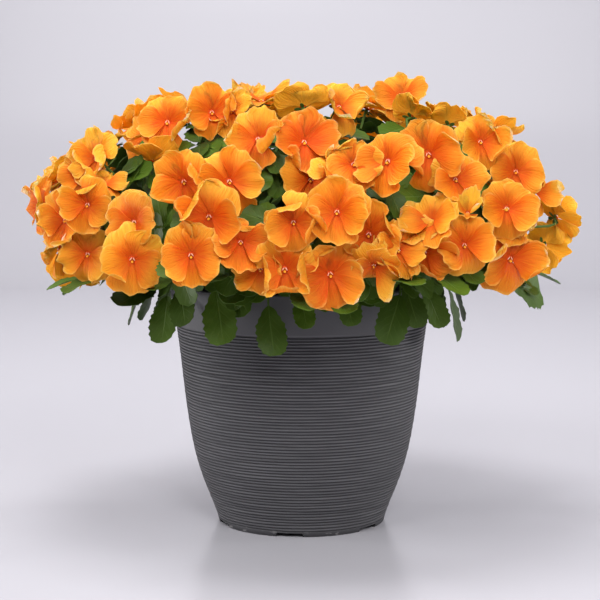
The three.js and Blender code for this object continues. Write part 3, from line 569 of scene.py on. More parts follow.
def finished(piece: Piece, kind: str, **settings: object) -> None:
    """Adds a modifier to an object and applies it.

    Args:
        piece: The object.
        kind: The modifier's type.
        settings: The modifier's settings.
    """
    hold(piece)
    modifier = piece.modifiers.new(kind.lower(), kind)
    for key, setting in settings.items():
        setattr(modifier, key, setting)
    bpy.ops.object.modifier_apply(modifier=modifier.name)


def welded(piece: Piece, distance: float = WELD) -> None:
    """Merges points that lie on each other and turns the faces outwards."""
    with Editing(piece):
        bpy.ops.mesh.select_all(action="SELECT")
        bpy.ops.mesh.remove_doubles(threshold=distance)
        bpy.ops.mesh.normals_make_consistent(inside=False)


def smoothed(piece: Piece, degrees: float) -> None:
    """Shades an object smooth except over edges sharper than an angle."""
    hold(piece)
    bpy.ops.object.shade_smooth_by_angle(angle=math.radians(degrees))


def places_of(mesh: bpy.types.Mesh) -> Array:
    """Returns a mesh's points as rows of three numbers."""
    flat = np.empty(len(mesh.vertices) * 3)
    mesh.vertices.foreach_get("co", flat)
    return flat.reshape(-1, 3)


def set_places(mesh: bpy.types.Mesh, places: Array) -> None:
    """Moves a mesh's points to rows of three numbers."""
    mesh.vertices.foreach_set("co", np.ascontiguousarray(places, float).ravel())
    mesh.update()


def mark(mesh: bpy.types.Mesh, name: str, rows: Array | Sequence[float]) -> None:
    """Keeps three numbers at each point of a mesh under a name.

    Args:
        mesh: The mesh.
        name: The name of the marks.
        rows: A row for each point, or one row for all.
    """
    full = np.broadcast_to(np.asarray(rows, float), (len(mesh.vertices), 3))
    layer = mesh.attributes.get(name) or mesh.attributes.new(name, "FLOAT_VECTOR", "POINT")
    layer.data.foreach_set("vector", np.ascontiguousarray(full).ravel())


def marks_of(mesh: bpy.types.Mesh, name: str) -> Array:
    """Returns the marks that a mesh keeps under a name, a row for each point."""
    flat = np.empty(len(mesh.vertices) * 3)
    mesh.attributes[name].data.foreach_get("vector", flat)
    return flat.reshape(-1, 3)


def thickened(piece: Piece, name: str, thickness: float) -> None:
    """Gives a flat petal or leaf its thickness and marks its back.

    Args:
        piece: The flat petal or leaf.
        name: The marks whose third number says which side is the back.
        thickness: How thick it becomes.
    """
    finished(piece, "SOLIDIFY", thickness=thickness, offset=0.0)
    smoothed(piece, 40)
    kept = marks_of(piece.data, name)
    kept[:, 2] = places_of(piece.data)[:, 2] < 0
    mark(piece.data, name, kept)


def roughened(piece: Piece, rng: np.random.Generator, low: float, high: float) -> None:
    """Pulls a ball's points in and out by random factors between two shares."""
    places = places_of(piece.data)
    set_places(piece.data, places * rng.uniform(low, high, (len(places), 1)))


def spun(line: Sequence[Pair], name: str, steps: int) -> Piece:
    """Draws a section by extruding a point and spins it round the Z axis.

    Args:
        line: Distances from the axis and heights in millimetres, which start and end on the axis.
        name: The object's name.
        steps: How many steps the turn has.

    Returns:
        The closed shape.
    """
    piece = started(bpy.ops.mesh.primitive_plane_add, name, size=1 * MM)
    with Editing(piece) as edit:
        bpy.ops.mesh.select_all(action="SELECT")
        bpy.ops.mesh.merge(type="CENTER")
        bpy.ops.transform.translate(value=(line[0][0] * MM, 0, line[0][1] * MM))
        for (r0, z0), (r1, z1) in zip(line, line[1:]):
            step = ((r1 - r0) * MM, 0, (z1 - z0) * MM)
            bpy.ops.mesh.extrude_region_move(TRANSFORM_OT_translate={"value": step})
        edit.points(lambda v: True)
        bpy.ops.mesh.spin(steps=steps, angle=TURN, center=(0, 0, 0), axis=(0, 0, 1))
    welded(piece, WELD / 2)
    return piece


def joined(parts: Sequence[Piece], name: str) -> Piece:
    """Joins objects into one mesh.

    Args:
        parts: The objects, which are used up.
        name: The joined object's name.

    Returns:
        The joined object.
    """
    deselect()
    used = [p.data for p in parts[1:]]
    for part in parts:
        part.select_set(True)
    bpy.context.view_layer.objects.active = parts[0]
    if len(parts) > 1:
        bpy.ops.object.join()
    piece = bpy.context.active_object
    piece.name = name
    piece.data.name = name
    for mesh in used:
        if not mesh.users:
            bpy.data.meshes.remove(mesh)
    return piece


@dataclass
class Pattern:
    """A shape that is modelled once and then copied, each copy with a mesh of its own."""

    mesh: bpy.types.Mesh
    places: Array

    @classmethod
    def of(cls, piece: Piece) -> "Pattern":
        """Keeps an object's mesh as a pattern and removes the object."""
        mesh = piece.data
        bpy.data.objects.remove(piece)
        return cls(mesh, places_of(mesh))

    def copied(self, places: Array, marks: dict[str, Sequence[float]]) -> Piece:
        """Makes a copy with its points elsewhere.

        Args:
            places: Where the copy's points go, in the pattern's order.
            marks: Marks that the copy keeps, by name.

        Returns:
            The copy.
        """
        mesh = self.mesh.copy()
        set_places(mesh, places)
        for name, rows in marks.items():
            mark(mesh, name, rows)
        piece = bpy.data.objects.new(mesh.name, mesh)
        bpy.context.scene.collection.objects.link(piece)
        return piece


@dataclass
class Tubes:
    """Round green tubes that are gathered and made into one mesh."""

    sides: int = 6
    runs: list[tuple[Array, Array]] = field(default_factory=list)

    def add(self, places: Array, radii: Array) -> None:
        """Adds one run of places with a radius at each."""
        self.runs.append((places, radii))

    def made(self, name: str) -> Piece:
        """Makes all the runs into one closed mesh.

        Args:
            name: The object's name.

        Returns:
            The object.
        """
        curve = bpy.data.curves.new(name, "CURVE")
        curve.dimensions = "3D"
        curve.bevel_depth = 1.0
        curve.bevel_resolution = (self.sides - 4) // 2
        curve.use_fill_caps = True
        for places, radii in self.runs:
            spline = curve.splines.new("POLY")
            spline.points.add(len(places) - 1)
            spline.points.foreach_set("co", np.c_[places, np.ones(len(places))].ravel())
            spline.points.foreach_set("radius", radii)
        piece = bpy.data.objects.new(name, curve)
        bpy.context.scene.collection.objects.link(piece)
        hold(piece)
        bpy.ops.object.convert(target="MESH")
        piece = bpy.context.active_object
        welded(piece)
        smoothed(piece, 50)
        return piece


def eased(knots: Sequence[Array], steps: int) -> Array:
    """Runs a smooth curve through a few places.

    Args:
        knots: The places.
        steps: How many stretches lie between two of them.

    Returns:
        The curve's places.
    """
    pts = np.array(knots, float)
    ends = np.vstack([2 * pts[0] - pts[1], pts, 2 * pts[-1] - pts[-2]])
    out = []
    for i in range(len(pts) - 1):
        a, b, c, d = ends[i : i + 4]
        for t in np.arange(steps) / steps:
            line = 2 * b + (c - a) * t
            bend = line + (2 * a - 5 * b + 4 * c - d) * t**2 + (3 * b - a - 3 * c + d) * t**3
            out.append(0.5 * bend)
    return np.array([*out, pts[-1]])


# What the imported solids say


@dataclass
class Solid:
    """The points and triangles of a CAD node, merged from its loose triangles."""

    places: Array
    faces: Array

    @classmethod
    def of(cls, node: str) -> "Solid":
        """Reads a node through a merged copy of its mesh.

        Args:
            node: The node's name.

        Returns:
            Its points and triangles.
        """
        copy = bpy.data.objects.new("reading", frame["nodes"][node].data.copy())
        bpy.context.scene.collection.objects.link(copy)
        with Editing(copy):
            bpy.ops.mesh.select_all(action="SELECT")
            bpy.ops.mesh.remove_doubles(threshold=WELD)
        mesh = copy.data
        mesh.calc_loop_triangles()
        faces = np.array([t.vertices[:] for t in mesh.loop_triangles])
        solid = cls(places_of(mesh), faces)
        bpy.data.objects.remove(copy)
        bpy.data.meshes.remove(mesh)
        return solid


class PetalKind(Enum):
    """The five petals of a bloom, as rows of the petals' order in the solids."""

    UPPER_RIGHT = 0
    UPPER_LEFT = 1
    LOWER = 2
    SIDE_RIGHT = 3
    SIDE_LEFT = 4

    @property
    def behind(self) -> bool:
        """Says whether the petal lies in the bloom's back layer."""
        return self in (PetalKind.UPPER_RIGHT, PetalKind.UPPER_LEFT, PetalKind.LOWER)

    @property
    def slope(self) -> float:
        """Returns how steeply it rises from its waist."""
        return -0.04 if self.behind else 0.06


@dataclass
class BloomPose:
    """Where a bloom stands: its throat, its three directions, its radius and how far each petal curves."""

    place: Array
    right: Array
    up: Array
    face: Array
    radius: float
    curves: dict[PetalKind, float]
    gold: float = 0.0

    def world(self, local: Array) -> Array:
        """Moves points from the bloom's own frame to the planter's."""
        return self.place + local @ np.array([self.right, self.up, self.face])


@dataclass
class BloomFinder:
    """Finds the blooms in a solid by the small squares that close their waists."""

    layer_gap: float = 1.2 * MM
    size_range: Pair = (0.45, 1.35)
    # How much a square's sides and the directions of its halves may differ.
    likeness: float = 0.03
    flatness: float = 0.999
    # How far off its place a rim point may lie, and how deep in shares of the radius.
    aside: float = 0.35 * MM
    depth: float = 0.4
    # How many rim points a bloom needs, and how far it stands from another.
    fewest: int = 4
    apart: float = 4 * MM
    # Curve of a petal of the front and of the back layer whose rim points are hidden.
    usual: Pair = (0.1, -0.16)
    # Turn in degrees and share of the radius of each petal's rim points.
    rims: tuple[tuple[PetalKind, tuple[Pair, ...]], ...] = (
        (PetalKind.UPPER_RIGHT, ((22, 0.86), (58, 1.04))),
        (PetalKind.UPPER_LEFT, ((122, 1.04), (158, 0.86))),
        (PetalKind.LOWER, ((228, 0.88), (270, 1.06), (312, 0.88))),
        (PetalKind.SIDE_RIGHT, ((-34, 0.94), (22, 0.98))),
        (PetalKind.SIDE_LEFT, ((214, 0.94), (158, 0.98))),
    )

    def squares(self, solid: Solid) -> list[tuple[Array, Array, list[Array], float]]:
        """Lists a solid's small flat squares.

        Args:
            solid: The solid.

        Returns:
            The middle, the outward direction, the corners and the side of each.
        """
        low, high = (WAIST * math.sqrt(2) * BLOOM_RADIUS * s for s in self.size_range)
        halves: dict[tuple[int, int], list[tuple[int, Array]]] = defaultdict(list)
        for face in solid.faces:
            corners = solid.places[face]
            sides = [float(np.linalg.norm(corners[(i + 1) % 3] - corners[(i + 2) % 3])) for i in range(3)]
            top = int(np.argmax(sides))
            a, b = (sides[(top + k) % 3] for k in (1, 2))
            uneven = max(abs(a - b), abs(sides[top] - math.sqrt(2) * a))
            if not low < a < high or uneven >= self.likeness * a:
                continue
            normal = unit(np.cross(corners[1] - corners[0], corners[2] - corners[0]))
            ends = tuple(sorted((int(face[(top + 1) % 3]), int(face[(top + 2) % 3]))))
            halves[ends].append((int(face[top]), normal))
        found = []
        for (i, j), pair in halves.items():
            if len(pair) != 2 or pair[0][1] @ pair[1][1] < self.flatness:
                continue
            p, q = (solid.places[k] for k, _ in pair)
            a, b = solid.places[i], solid.places[j]
            found.append(((a + b) / 2, pair[0][1], [a, p, b, q], float(np.linalg.norm(a - p))))
        return found

    def read(
        self, solid: Solid, middle: Array, face: Array, up: Array, radius: float
    ) -> tuple[int, BloomPose]:
        """Tries one reading of a square and says how well the solid bears it out.

        Args:
            solid: The solid.
            middle: The bloom's throat.
            face: The way that the bloom would face.
            up: The way that would be up on it.
            radius: Its radius.

        Returns:
            How many rim points agree, and the bloom's pose.
        """
        right = np.cross(up, face)
        local = (solid.places - middle) @ np.array([right, up, face]).T
        hits, curves = 0, {}
        for kind, rim in self.rims:
            base = -BLADE_THICKNESS / 2 if kind.behind else self.layer_gap + BLADE_THICKNESS / 2
            seen = []
            for turn, r in rim:
                x, y = (radius * r * f(math.radians(turn)) for f in (math.cos, math.sin))
                near = np.hypot(local[:, 0] - x, local[:, 1] - y) < self.aside
                near &= abs(local[:, 2]) < self.depth * radius
                near &= (local[:, 2] < 0) if kind.behind else (local[:, 2] > 0)
                if near.any():
                    hits += 1
                    out = r - WAIST
                    lift = (local[near, 2].mean() - base) / radius
                    seen.append((lift - kind.slope * out) / out**2)
            curves[kind] = float(np.mean(seen)) if seen else self.usual[kind.behind]
        return hits, BloomPose(middle, right, up, face, radius, curves)

    def blooms(self, solid: Solid) -> list[BloomPose]:
        """Finds every bloom of a solid.

        Args:
            solid: The solid.

        Returns:
            The blooms' poses.
        """
        readings = []
        for middle, normal, corners, side in self.squares(solid):
            radius = side / (WAIST * math.sqrt(2))
            front = middle - normal * (self.layer_gap + BLADE_THICKNESS)
            back = middle - normal * BLADE_THICKNESS
            for place, face in ((front, normal), (back, -normal)):
                for k in range(4):
                    up = unit((corners[k] + corners[(k + 1) % 4]) / 2 - middle)
                    readings.append(self.read(solid, place, face, up, radius))
        readings.sort(key=lambda reading: -reading[0])
        blooms: list[BloomPose] = []
        for hits, pose in readings:
            if hits < self.fewest:
                break
            if all(np.linalg.norm(pose.place - b.place) > self.apart for b in blooms):
                blooms.append(pose)
        return blooms


@dataclass
class LeafPose:
    """Where a leaf stands: its root, its three directions, its length and how far it droops."""

    root: Array
    along: Array
    across: Array
    out: Array
    length: float
    droop: float


@dataclass
class LeafFinder:
    """Finds the leaves in a solid by the pairs of points that their thin blades leave."""

    # How far from one thickness a pair's gap may be, and a point from where the leaf has one.
    gap_error: float = 0.012 * MM
    aside: float = 0.5 * MM
    lengths: Pair = (25 * MM, 90 * MM)
    # How well the directions of one leaf's pairs agree, and how many pairs and side points it needs.
    parallel: float = 0.99995
    fewest_pairs: int = 4
    fewest_sides: int = 3
    middle: float = 0.58
    side: tuple[Pair, ...] = ((0.4, 0.92), (0.55, 0.78), (0.74, 0.82))
    reach: float = 75 * MM

    def pairs(self, solid: Solid) -> list[tuple[Array, Array]]:
        """Lists the middles and directions of points that lie one thickness apart."""
        pts = solid.places
        order = np.argsort(pts[:, 0])
        spread = pts[order]
        found = []
        for i in range(len(spread)):
            stop = np.searchsorted(spread[:, 0], spread[i, 0] + BLADE_THICKNESS * 1.02)
            gaps = spread[i + 1 : stop] - spread[i]
            for gap in gaps[abs(np.linalg.norm(gaps, axis=1) - BLADE_THICKNESS) < self.gap_error]:
                found.append((spread[i] + gap / 2, unit(gap)))
        return found

    def fit(self, points: Array, out: Array) -> tuple[int, LeafPose | None]:
        """Fits a leaf to points that share one direction.

        Args:
            points: The middles of the pairs.
            out: The direction that they share.

        Returns:
            How many points agree, and the leaf.
        """
        best: tuple[int, LeafPose | None] = (0, None)
        for t, tip in enumerate(points):
            for m, mid in enumerate(points):
                flat = (tip - mid) - out * ((tip - mid) @ out)
                long = float(np.linalg.norm(flat)) / (1 - self.middle)
                if m == t or not self.lengths[0] < long < self.lengths[1]:
                    continue
                along = unit(flat)
                across = np.cross(out, along)
                half = LEAF_HALF_WIDTH * long / LEAF_LENGTH
                x = (points - mid) @ along / long + self.middle
                y = (points - mid) @ across / half
                wanted = [(a, s * b) for a, b in self.side for s in (-1, 1)]
                off = [np.hypot((x - a) * long, (y - b) * half) for a, b in wanted]
                hits = sum(bool((o < self.aside).any()) for o in off)
                if hits <= best[0]:
                    continue
                wide = [points[int(np.argmin(o))] for o in off[:2] if (o < self.aside).any()]
                raised = float(np.mean([(w - mid) @ out for w in wide])) if wide else 0.0
                sign = -1.0 if raised < 0 else 1.0
                droop = (mid - tip) @ out * sign / (1 - self.middle**2)
                root = tip - along * long + out * sign * droop
                best = (hits, LeafPose(root, along, across * sign, out * sign, long, float(droop)))
        return best

    def leaves(self, solid: Solid) -> list[LeafPose]:
        """Finds every leaf of a solid.

        Args:
            solid: The solid.

        Returns:
            The leaves' poses.
        """
        left = self.pairs(solid)
        leaves = []
        while left:
            place, way = left[0]
            alike = [p for p in left if abs(p[1] @ way) > self.parallel]
            mine = [p for p in alike if np.linalg.norm(p[0] - place) < self.reach]
            left = [p for p in left if not any(p is q for q in mine)]
            if len(mine) < self.fewest_pairs:
                continue
            hits, leaf = self.fit(np.array([p[0] for p in mine]), way)
            if leaf is not None and hits >= self.fewest_sides:
                leaves.append(leaf)
        return leaves


@dataclass
class StemRun:
    """A stem's way up and out, and the leafy volume round its tip."""

    places: Array
    centre: Array
    axes: Array
    half: Array

    def inside(self, shares: Array) -> Array:
        """Turns shares of the leafy volume's half sizes into a place."""
        return self.centre + (shares * self.half) @ self.axes

    def measure(self, place: Array) -> float:
        """Says how far out of the leafy volume a place lies: 1 on its surface."""
        return float(np.linalg.norm((self.axes @ (place - self.centre)) / self.half))


@dataclass
class StemFinder:
    """Finds the stem of a leafy node from its foot in the potting mix."""

    foot_height: float = 230.3 * MM
    # How far a point of the foot may lie off that height.
    off: float = 0.3 * MM
    # The ring's distance from the pot's axis, the stem's places and the leafy volume of both rings.
    rings: tuple[tuple[float, tuple[Pair, ...], tuple[float, ...]], ...] = (
        (98 * MM, ((98, 256), (108, 318), (190, 342)), (172, 342, 60, 54, 52)),
        (40 * MM, ((40, 256), (44, 330), (60, 380)), (60, 378, 49, 49, 46)),
    )

    def run(self, solid: Solid, axis: Array) -> StemRun:
        """Reads a stem from its solid.

        Args:
            solid: The leafy node's solid.
            axis: The foot of the pot's axis.

        Returns:
            The stem's run.
        """
        low = solid.places[abs(solid.places[:, 2] - self.foot_height) < self.off]
        foot = (low.max(axis=0) + low.min(axis=0)) / 2 - axis
        reach = math.hypot(foot[0], foot[1])
        _, run, core = min(self.rings, key=lambda ring: abs(ring[0] - reach))
        level = unit(np.array([foot[0], foot[1], 0.0]))

        def at(r: float, z: float) -> Array:
            """Returns the place at a distance and a height in millimetres."""
            return axis + level * r * MM + UPWARDS * z * MM

        a, b, c = (at(r, z) for r, z in run)
        bend = [a * (1 - t) ** 2 + b * 2 * t * (1 - t) + c * t**2 for t in np.linspace(0, 1, 9)]
        under = at(run[0][0], self.foot_height / MM)
        axes = np.array([level, np.cross(UPWARDS, level), UPWARDS])
        return StemRun(np.array([under, *bend]), at(core[0], core[1]), axes, np.array(core[2:]) * MM)


# Blooms


@dataclass
class PetalPattern:
    """A flat petal that is drawn row by row from its claw to its rim, in shares of the bloom's radius."""

    name: str
    outs: tuple[float, ...]
    half_widths: tuple[float, ...]
    bows: tuple[float, ...]
    columns: int = 10
    thickness: float = 0.5 * MM

    def made(self) -> Pattern:
        """Models the petal from a grid whose rows are moved, widened and bowed.

        Returns:
            The petal as a pattern, flat, with its claw at the origin and its length along Y.
        """
        rows = len(self.outs) - 1
        piece = started(
            bpy.ops.mesh.primitive_grid_add,
            self.name,
            x_subdivisions=self.columns,
            y_subdivisions=rows,
            size=2.0,
        )
        wide = self.columns + 1
        with Editing(piece) as edit:
            for row in range(rows, -1, -1):
                height = 2 * row / rows - 1
                edit.points(lambda v, row=row: v.index // wide == row)
                stretch = self.half_widths[row] * BLOOM_RADIUS
                bpy.ops.transform.resize(value=(stretch, 1, 1), center_override=(0, height, 0))
                bpy.ops.transform.translate(value=(0, self.outs[row] * BLOOM_RADIUS - height, 0))
                for pair in range(1, self.columns // 2 + 1):
                    share = pair / (self.columns / 2)
                    ends = {row * wide + self.columns // 2 + s * pair for s in (-1, 1)}
                    edit.points(lambda v, ends=ends: v.index in ends)
                    bpy.ops.transform.translate(value=(0, -self.bows[row] * BLOOM_RADIUS * share**2, 0))
        u = np.tile(np.linspace(-1, 1, wide), rows + 1)
        v = np.repeat(np.array(self.outs) / self.outs[-1], wide)
        mark(piece.data, "petal", np.c_[u, v, np.zeros(len(u))])
        thickened(piece, "petal", self.thickness)
        mark(piece.data, "part", (0, 0, 0))
        return Pattern.of(piece)


UPPER = PetalPattern(
    "upper_petal",
    (0.0, 0.18, 0.38, 0.58, 0.76, 0.90, 0.99),
    (0.06, 0.25, 0.50, 0.69, 0.76, 0.71, 0.56),
    (0.0, 0.05, 0.13, 0.24, 0.31, 0.25, 0.17),
)
SIDE = PetalPattern(
    "side_petal",
    (0.0, 0.17, 0.36, 0.55, 0.74, 0.88, 0.94),
    (0.08, 0.28, 0.49, 0.62, 0.68, 0.63, 0.49),
    (0.0, 0.04, 0.11, 0.19, 0.26, 0.21, 0.14),
)
LOWER = PetalPattern(
    "lower_petal",
    (0.0, 0.18, 0.38, 0.58, 0.79, 0.94, 1.01),
    (0.10, 0.32, 0.52, 0.67, 0.77, 0.74, 0.60),
    (0.0, 0.03, 0.07, 0.13, 0.22, 0.21, 0.15),
)


@dataclass(frozen=True)
class PetalSeat:
    """How a petal sits in its bloom: turn in degrees, height of its claw, and how golden it may get, which
    on the upper petals is partly a painted highlight.
    """

    kind: PetalKind
    pattern: PetalPattern
    turn: float
    base: float
    golden: float


@dataclass
class BloomMaker:
    """Makes whole blooms: petals in two layers, throat, tufts, eye and spur."""

    rng: np.random.Generator
    start: float = 0.10
    seats: tuple[PetalSeat, ...] = (
        PetalSeat(PetalKind.UPPER_LEFT, UPPER, 124, -0.6 * MM, 1.0),
        PetalSeat(PetalKind.UPPER_RIGHT, UPPER, 56, 0.1 * MM, 1.0),
        PetalSeat(PetalKind.LOWER, LOWER, 270, -0.3 * MM, 0.25),
        PetalSeat(PetalKind.SIDE_LEFT, SIDE, 191, 1.4 * MM, 0.6),
        PetalSeat(PetalKind.SIDE_RIGHT, SIDE, -11, 1.6 * MM, 0.6),
    )
    # How petals differ: length, width, skew, lean in degrees and golden share.
    long: Pair = (0.94, 1.07)
    wide: Pair = (0.93, 1.1)
    skew: Pair = (-0.16, 0.16)
    lean: Pair = (-9, 9)
    golden: Pair = (-0.12, 0.12)
    # The rim's uneven length, its wide ruffle and its fine frill, as heights and counts of waves.
    flutter: float = 0.05
    flutter_waves: Pair = (1.2, 2.6)
    ruffle: Pair = (0.06, 0.15)
    waves: Pair = (0.9, 2.1)
    frill: Pair = (0.01, 0.04)
    frill_waves: float = 3.0
    # How far the sides and the rim stand forwards, the twist, and the petal's own rise.
    cup: Pair = (-0.12, 0.26)
    curl: Pair = (-0.26, 0.24)
    twist: Pair = (-0.2, 0.2)
    rise: float = 0.08
    # The throat's depth and its radius.
    funnel: Pair = (0.13, 0.3)
    # How often a petal's rim is folded over, and how much of that goes for the lower petal.
    folded_share: float = 0.3
    folded_lower: float = 0.3
    # Blooms under this share of the usual radius are half open: their petals rise and narrow.
    bud_size: float = 0.6
    bud_rise: float = 1.1
    bud_narrow: float = 0.25
    # Each small part's pattern, place, stretch and turn, and its mark as tuft or eye.
    details: tuple[tuple[str, Triple, Triple, float, Triple], ...] = (
        ("throat", (0, 0, -0.13), (0.15, 0.15, 0.03), 0.0, (0, 0, 0)),
        ("tuft", (-0.05, 0.012, -0.075), (0.017, 0.07, 0.018), -0.55, (0.8, 0, 0)),
        ("tuft", (0.05, 0.012, -0.075), (0.017, 0.07, 0.018), 0.55, (0.8, 0, 0)),
        ("eye", (0, -0.015, -0.1), (0.02, 0.036, 0.02), 0.0, (0, 0.8, 0)),
    )
    # How much each stretch of the spur narrows and how far it goes aside.
    spur_stretches: tuple[Pair, ...] = ((0.85, 0.0), (0.8, -0.06), (0.6, -0.14))
    patterns: dict[str, Pattern] = field(default_factory=dict)

    def __post_init__(self) -> None:
        """Models the patterns once."""
        for pattern in (UPPER, SIDE, LOWER):
            self.patterns[pattern.name] = pattern.made()
        for name in ("throat", "tuft", "eye"):
            ball = started(bpy.ops.mesh.primitive_ico_sphere_add, name, subdivisions=2, radius=1.0)
            if name == "tuft":
                roughened(ball, self.rng, 0.7, 1.15)
            smoothed(ball, 60)
            self.patterns[name] = Pattern.of(ball)
        self.patterns["spur"] = self.spur()

    def spur(self) -> Pattern:
        """Models the short hollow spur behind the lower petal from a cylinder that narrows and bends.

        Returns:
            The spur as a pattern, from the origin along minus Z, at length 1.
        """
        thin = 0.01
        piece = started(bpy.ops.mesh.primitive_cylinder_add, "spur", vertices=6, radius=0.3, depth=thin)
        long = 1 / len(self.spur_stretches)
        side = 0.0
        with Editing(piece) as edit:
            for step, (narrow, aside) in enumerate(self.spur_stretches):
                low = -thin / 2 - step * long
                side += aside
                edit.points(lambda v, low=low: v.co.z < low + 0.4 * thin)
                bpy.ops.mesh.extrude_region_move(TRANSFORM_OT_translate={"value": (0, aside, -long)})
                bpy.ops.transform.resize(value=(narrow, narrow, 1), center_override=(0, side, low - long))
        welded(piece)
        smoothed(piece, 60)
        return Pattern.of(piece)

    def wave(self, across: Array, waves: Pair) -> Array:
        """Returns a sine across a petal with a drawn count of half waves and a drawn start."""
        return np.sin(math.pi * self.rng.uniform(*waves) * across + self.rng.uniform(0, TURN))

    def shaped(self, pose: BloomPose, seat: PetalSeat) -> Array:
        """Curves one petal in its bloom's own frame.

        Args:
            pose: The bloom.
            seat: How the petal sits in it.

        Returns:
            The places of the petal's points, in the order of its pattern.
        """
        flat = self.patterns[seat.pattern.name]
        rng = self.rng
        u, v, _ = marks_of(flat.mesh, "petal").T
        size = pose.radius / BLOOM_RADIUS
        x, y, thick = flat.places.T * np.array([[size], [size], [1.0]])
        uneven = 1 + self.flutter * v**3 * self.wave(u, self.flutter_waves)
        y = y * uneven * rng.uniform(*self.long) + self.start * pose.radius
        x = x * rng.uniform(*self.wide) + y * rng.uniform(*self.skew) * v
        height: Array | float = 0.0
        if rng.random() < self.folded_share * (self.folded_lower if seat.kind is PetalKind.LOWER else 1.0):
            x, y, height = self.folded(x, y, pose.radius)
        r = np.hypot(x, y) / pose.radius
        out = np.clip(r - WAIST, 0, None)
        lift = seat.kind.slope * out + pose.curves[seat.kind] * out**2
        lift += rng.uniform(*self.ruffle) * v**1.6 * self.wave(u, self.waves)
        frill = rng.uniform(*self.frill) * v**4
        lift += frill * np.sin(math.pi * self.frill_waves * u + rng.uniform(0, TURN))
        lift += rng.uniform(*self.cup) * u**2 * v + rng.uniform(*self.curl) * v**3
        lift += rng.uniform(*self.twist) * u * v + self.rise * v
        deep, near = self.funnel
        lift -= deep * np.exp(-((r / near) ** 2))
        if pose.radius < self.bud_size * BLOOM_RADIUS:
            lift += self.bud_rise * out**1.5
            x = x * (1 - self.bud_narrow * v)
        z = seat.base + lift * pose.radius + height + thick
        lean = math.radians(seat.turn - 90 + rng.uniform(*self.lean))
        c, s = math.cos(lean), math.sin(lean)
        return np.c_[x * c - y * s, x * s + y * c, z]

    def folded(self, x: Array, y: Array, radius: float) -> tuple[Array, Array, Array]:
        """Curls the outer part of a petal forwards over a line, so that its golden back shows.

        Args:
            x: Across the petal.
            y: Along the petal.
            radius: The bloom's radius.

        Returns:
            Both after the fold, and the heights over the petal's flat face.
        """
        slant = self.rng.uniform(-0.9, 0.9)
        way = (math.sin(slant), math.cos(slant))
        beyond = x * way[0] + y * way[1] - self.rng.uniform(0.5, 0.72) * radius
        bend = self.rng.uniform(0.10, 0.16) * radius
        over = np.clip(beyond, 0, None)
        angle = np.minimum(over / bend, 2.6)
        rest = over - angle * bend
        new = bend * np.sin(angle) + rest * np.cos(angle)
        up = bend * (1 - np.cos(angle)) + rest * np.sin(angle)
        shift = np.where(beyond > 0, new - beyond, 0.0)
        return x + way[0] * shift, y + way[1] * shift, up

    def made(self, pose: BloomPose) -> list[Piece]:
        """Makes the parts of one bloom.

        Args:
            pose: The bloom's pose.

        Returns:
            Its parts, each in place.
        """
        tone = float(np.clip(self.rng.normal(0, 0.4), -1, 1))
        parts = []
        for seat in self.seats:
            local = self.shaped(pose, seat)
            gold = pose.gold + self.rng.uniform(*self.golden)
            marks = {"bloom": (gold, tone, seat.golden)}
            parts.append(self.patterns[seat.pattern.name].copied(pose.world(local), marks))
        for name, at, stretch, lean, part in self.details:
            pattern = self.patterns[name]
            c, s = math.cos(lean), math.sin(lean)
            local = pattern.places * np.array(stretch) @ np.array([[c, s, 0], [-s, c, 0], [0, 0, 1]])
            marks = {"petal": (0.0, 0.02, 0.0), "bloom": (0, tone, 0), "part": part}
            parts.append(pattern.copied(pose.world((local + np.array(at)) * pose.radius), marks))
        spur = self.patterns["spur"]
        local = spur.places * np.array([0.14, 0.14, 0.26]) + np.array([0, -0.07, -0.02])
        marks = {"petal": (0, 0.9, 1), "bloom": (0.8, tone, 1), "part": (0, 0, 0)}
        parts.append(spur.copied(pose.world(local * pose.radius), marks))
        return parts


# Golden share of each front bloom, by its place across and up in millimetres as seen at the pot's axis.
FRONT_GOLD: tuple[Triple, ...] = (
    (-274, 351, 0.1),
    (-244, 363, 0.0),
    (-248, 397, 0.0),
    (-228, 423, 0.35),
    (-222, 389, 0.5),
    (-192, 343, 0.1),
    (-135, 389, -0.2),
    (-159, 421, 0.9),
    (-152, 457, 0.0),
    (-101, 468, -0.1),
    (-241, 300, 0.15),
    (-193, 300, 0.3),
    (-129, 299, -0.15),
    (-106, 349, 0.1),
    (-77, 390, 0.1),
    (-69, 321, -0.1),
    (-50, 438, 0.1),
    (-80, 470, 0.4),
    (-45, 483, 0.2),
    (4, 435, -0.15),
    (2, 475, 0.8),
    (44, 475, 0.45),
    (59, 410, 0.0),
    (105, 415, -0.3),
    (7, 391, -0.1),
    (38, 393, 0.15),
    (40, 355, -0.2),
    (-9, 343, 0.1),
    (77, 329, 0.0),
    (-19, 289, 0.15),
    (-51, 289, -0.1),
    (33, 283, 0.05),
    (83, 292, 0.2),
    (144, 420, -0.05),
    (176, 392, -0.1),
    (200, 438, 0.1),
    (168, 455, 0.8),
    (113, 486, 0.2),
    (122, 465, 0.85),
    (244, 401, 0.05),
    (268, 377, 0.1),
    (234, 359, -0.1),
    (293, 354, 0.8),
    (189, 355, 1.0),
    (147, 345, 0.25),
    (140, 308, 0.0),
    (186, 310, -0.05),
    (233, 337, 0.1),
    (239, 304, -0.1),
    (277, 312, 0.7),
    (108, 313, 0.1),
)


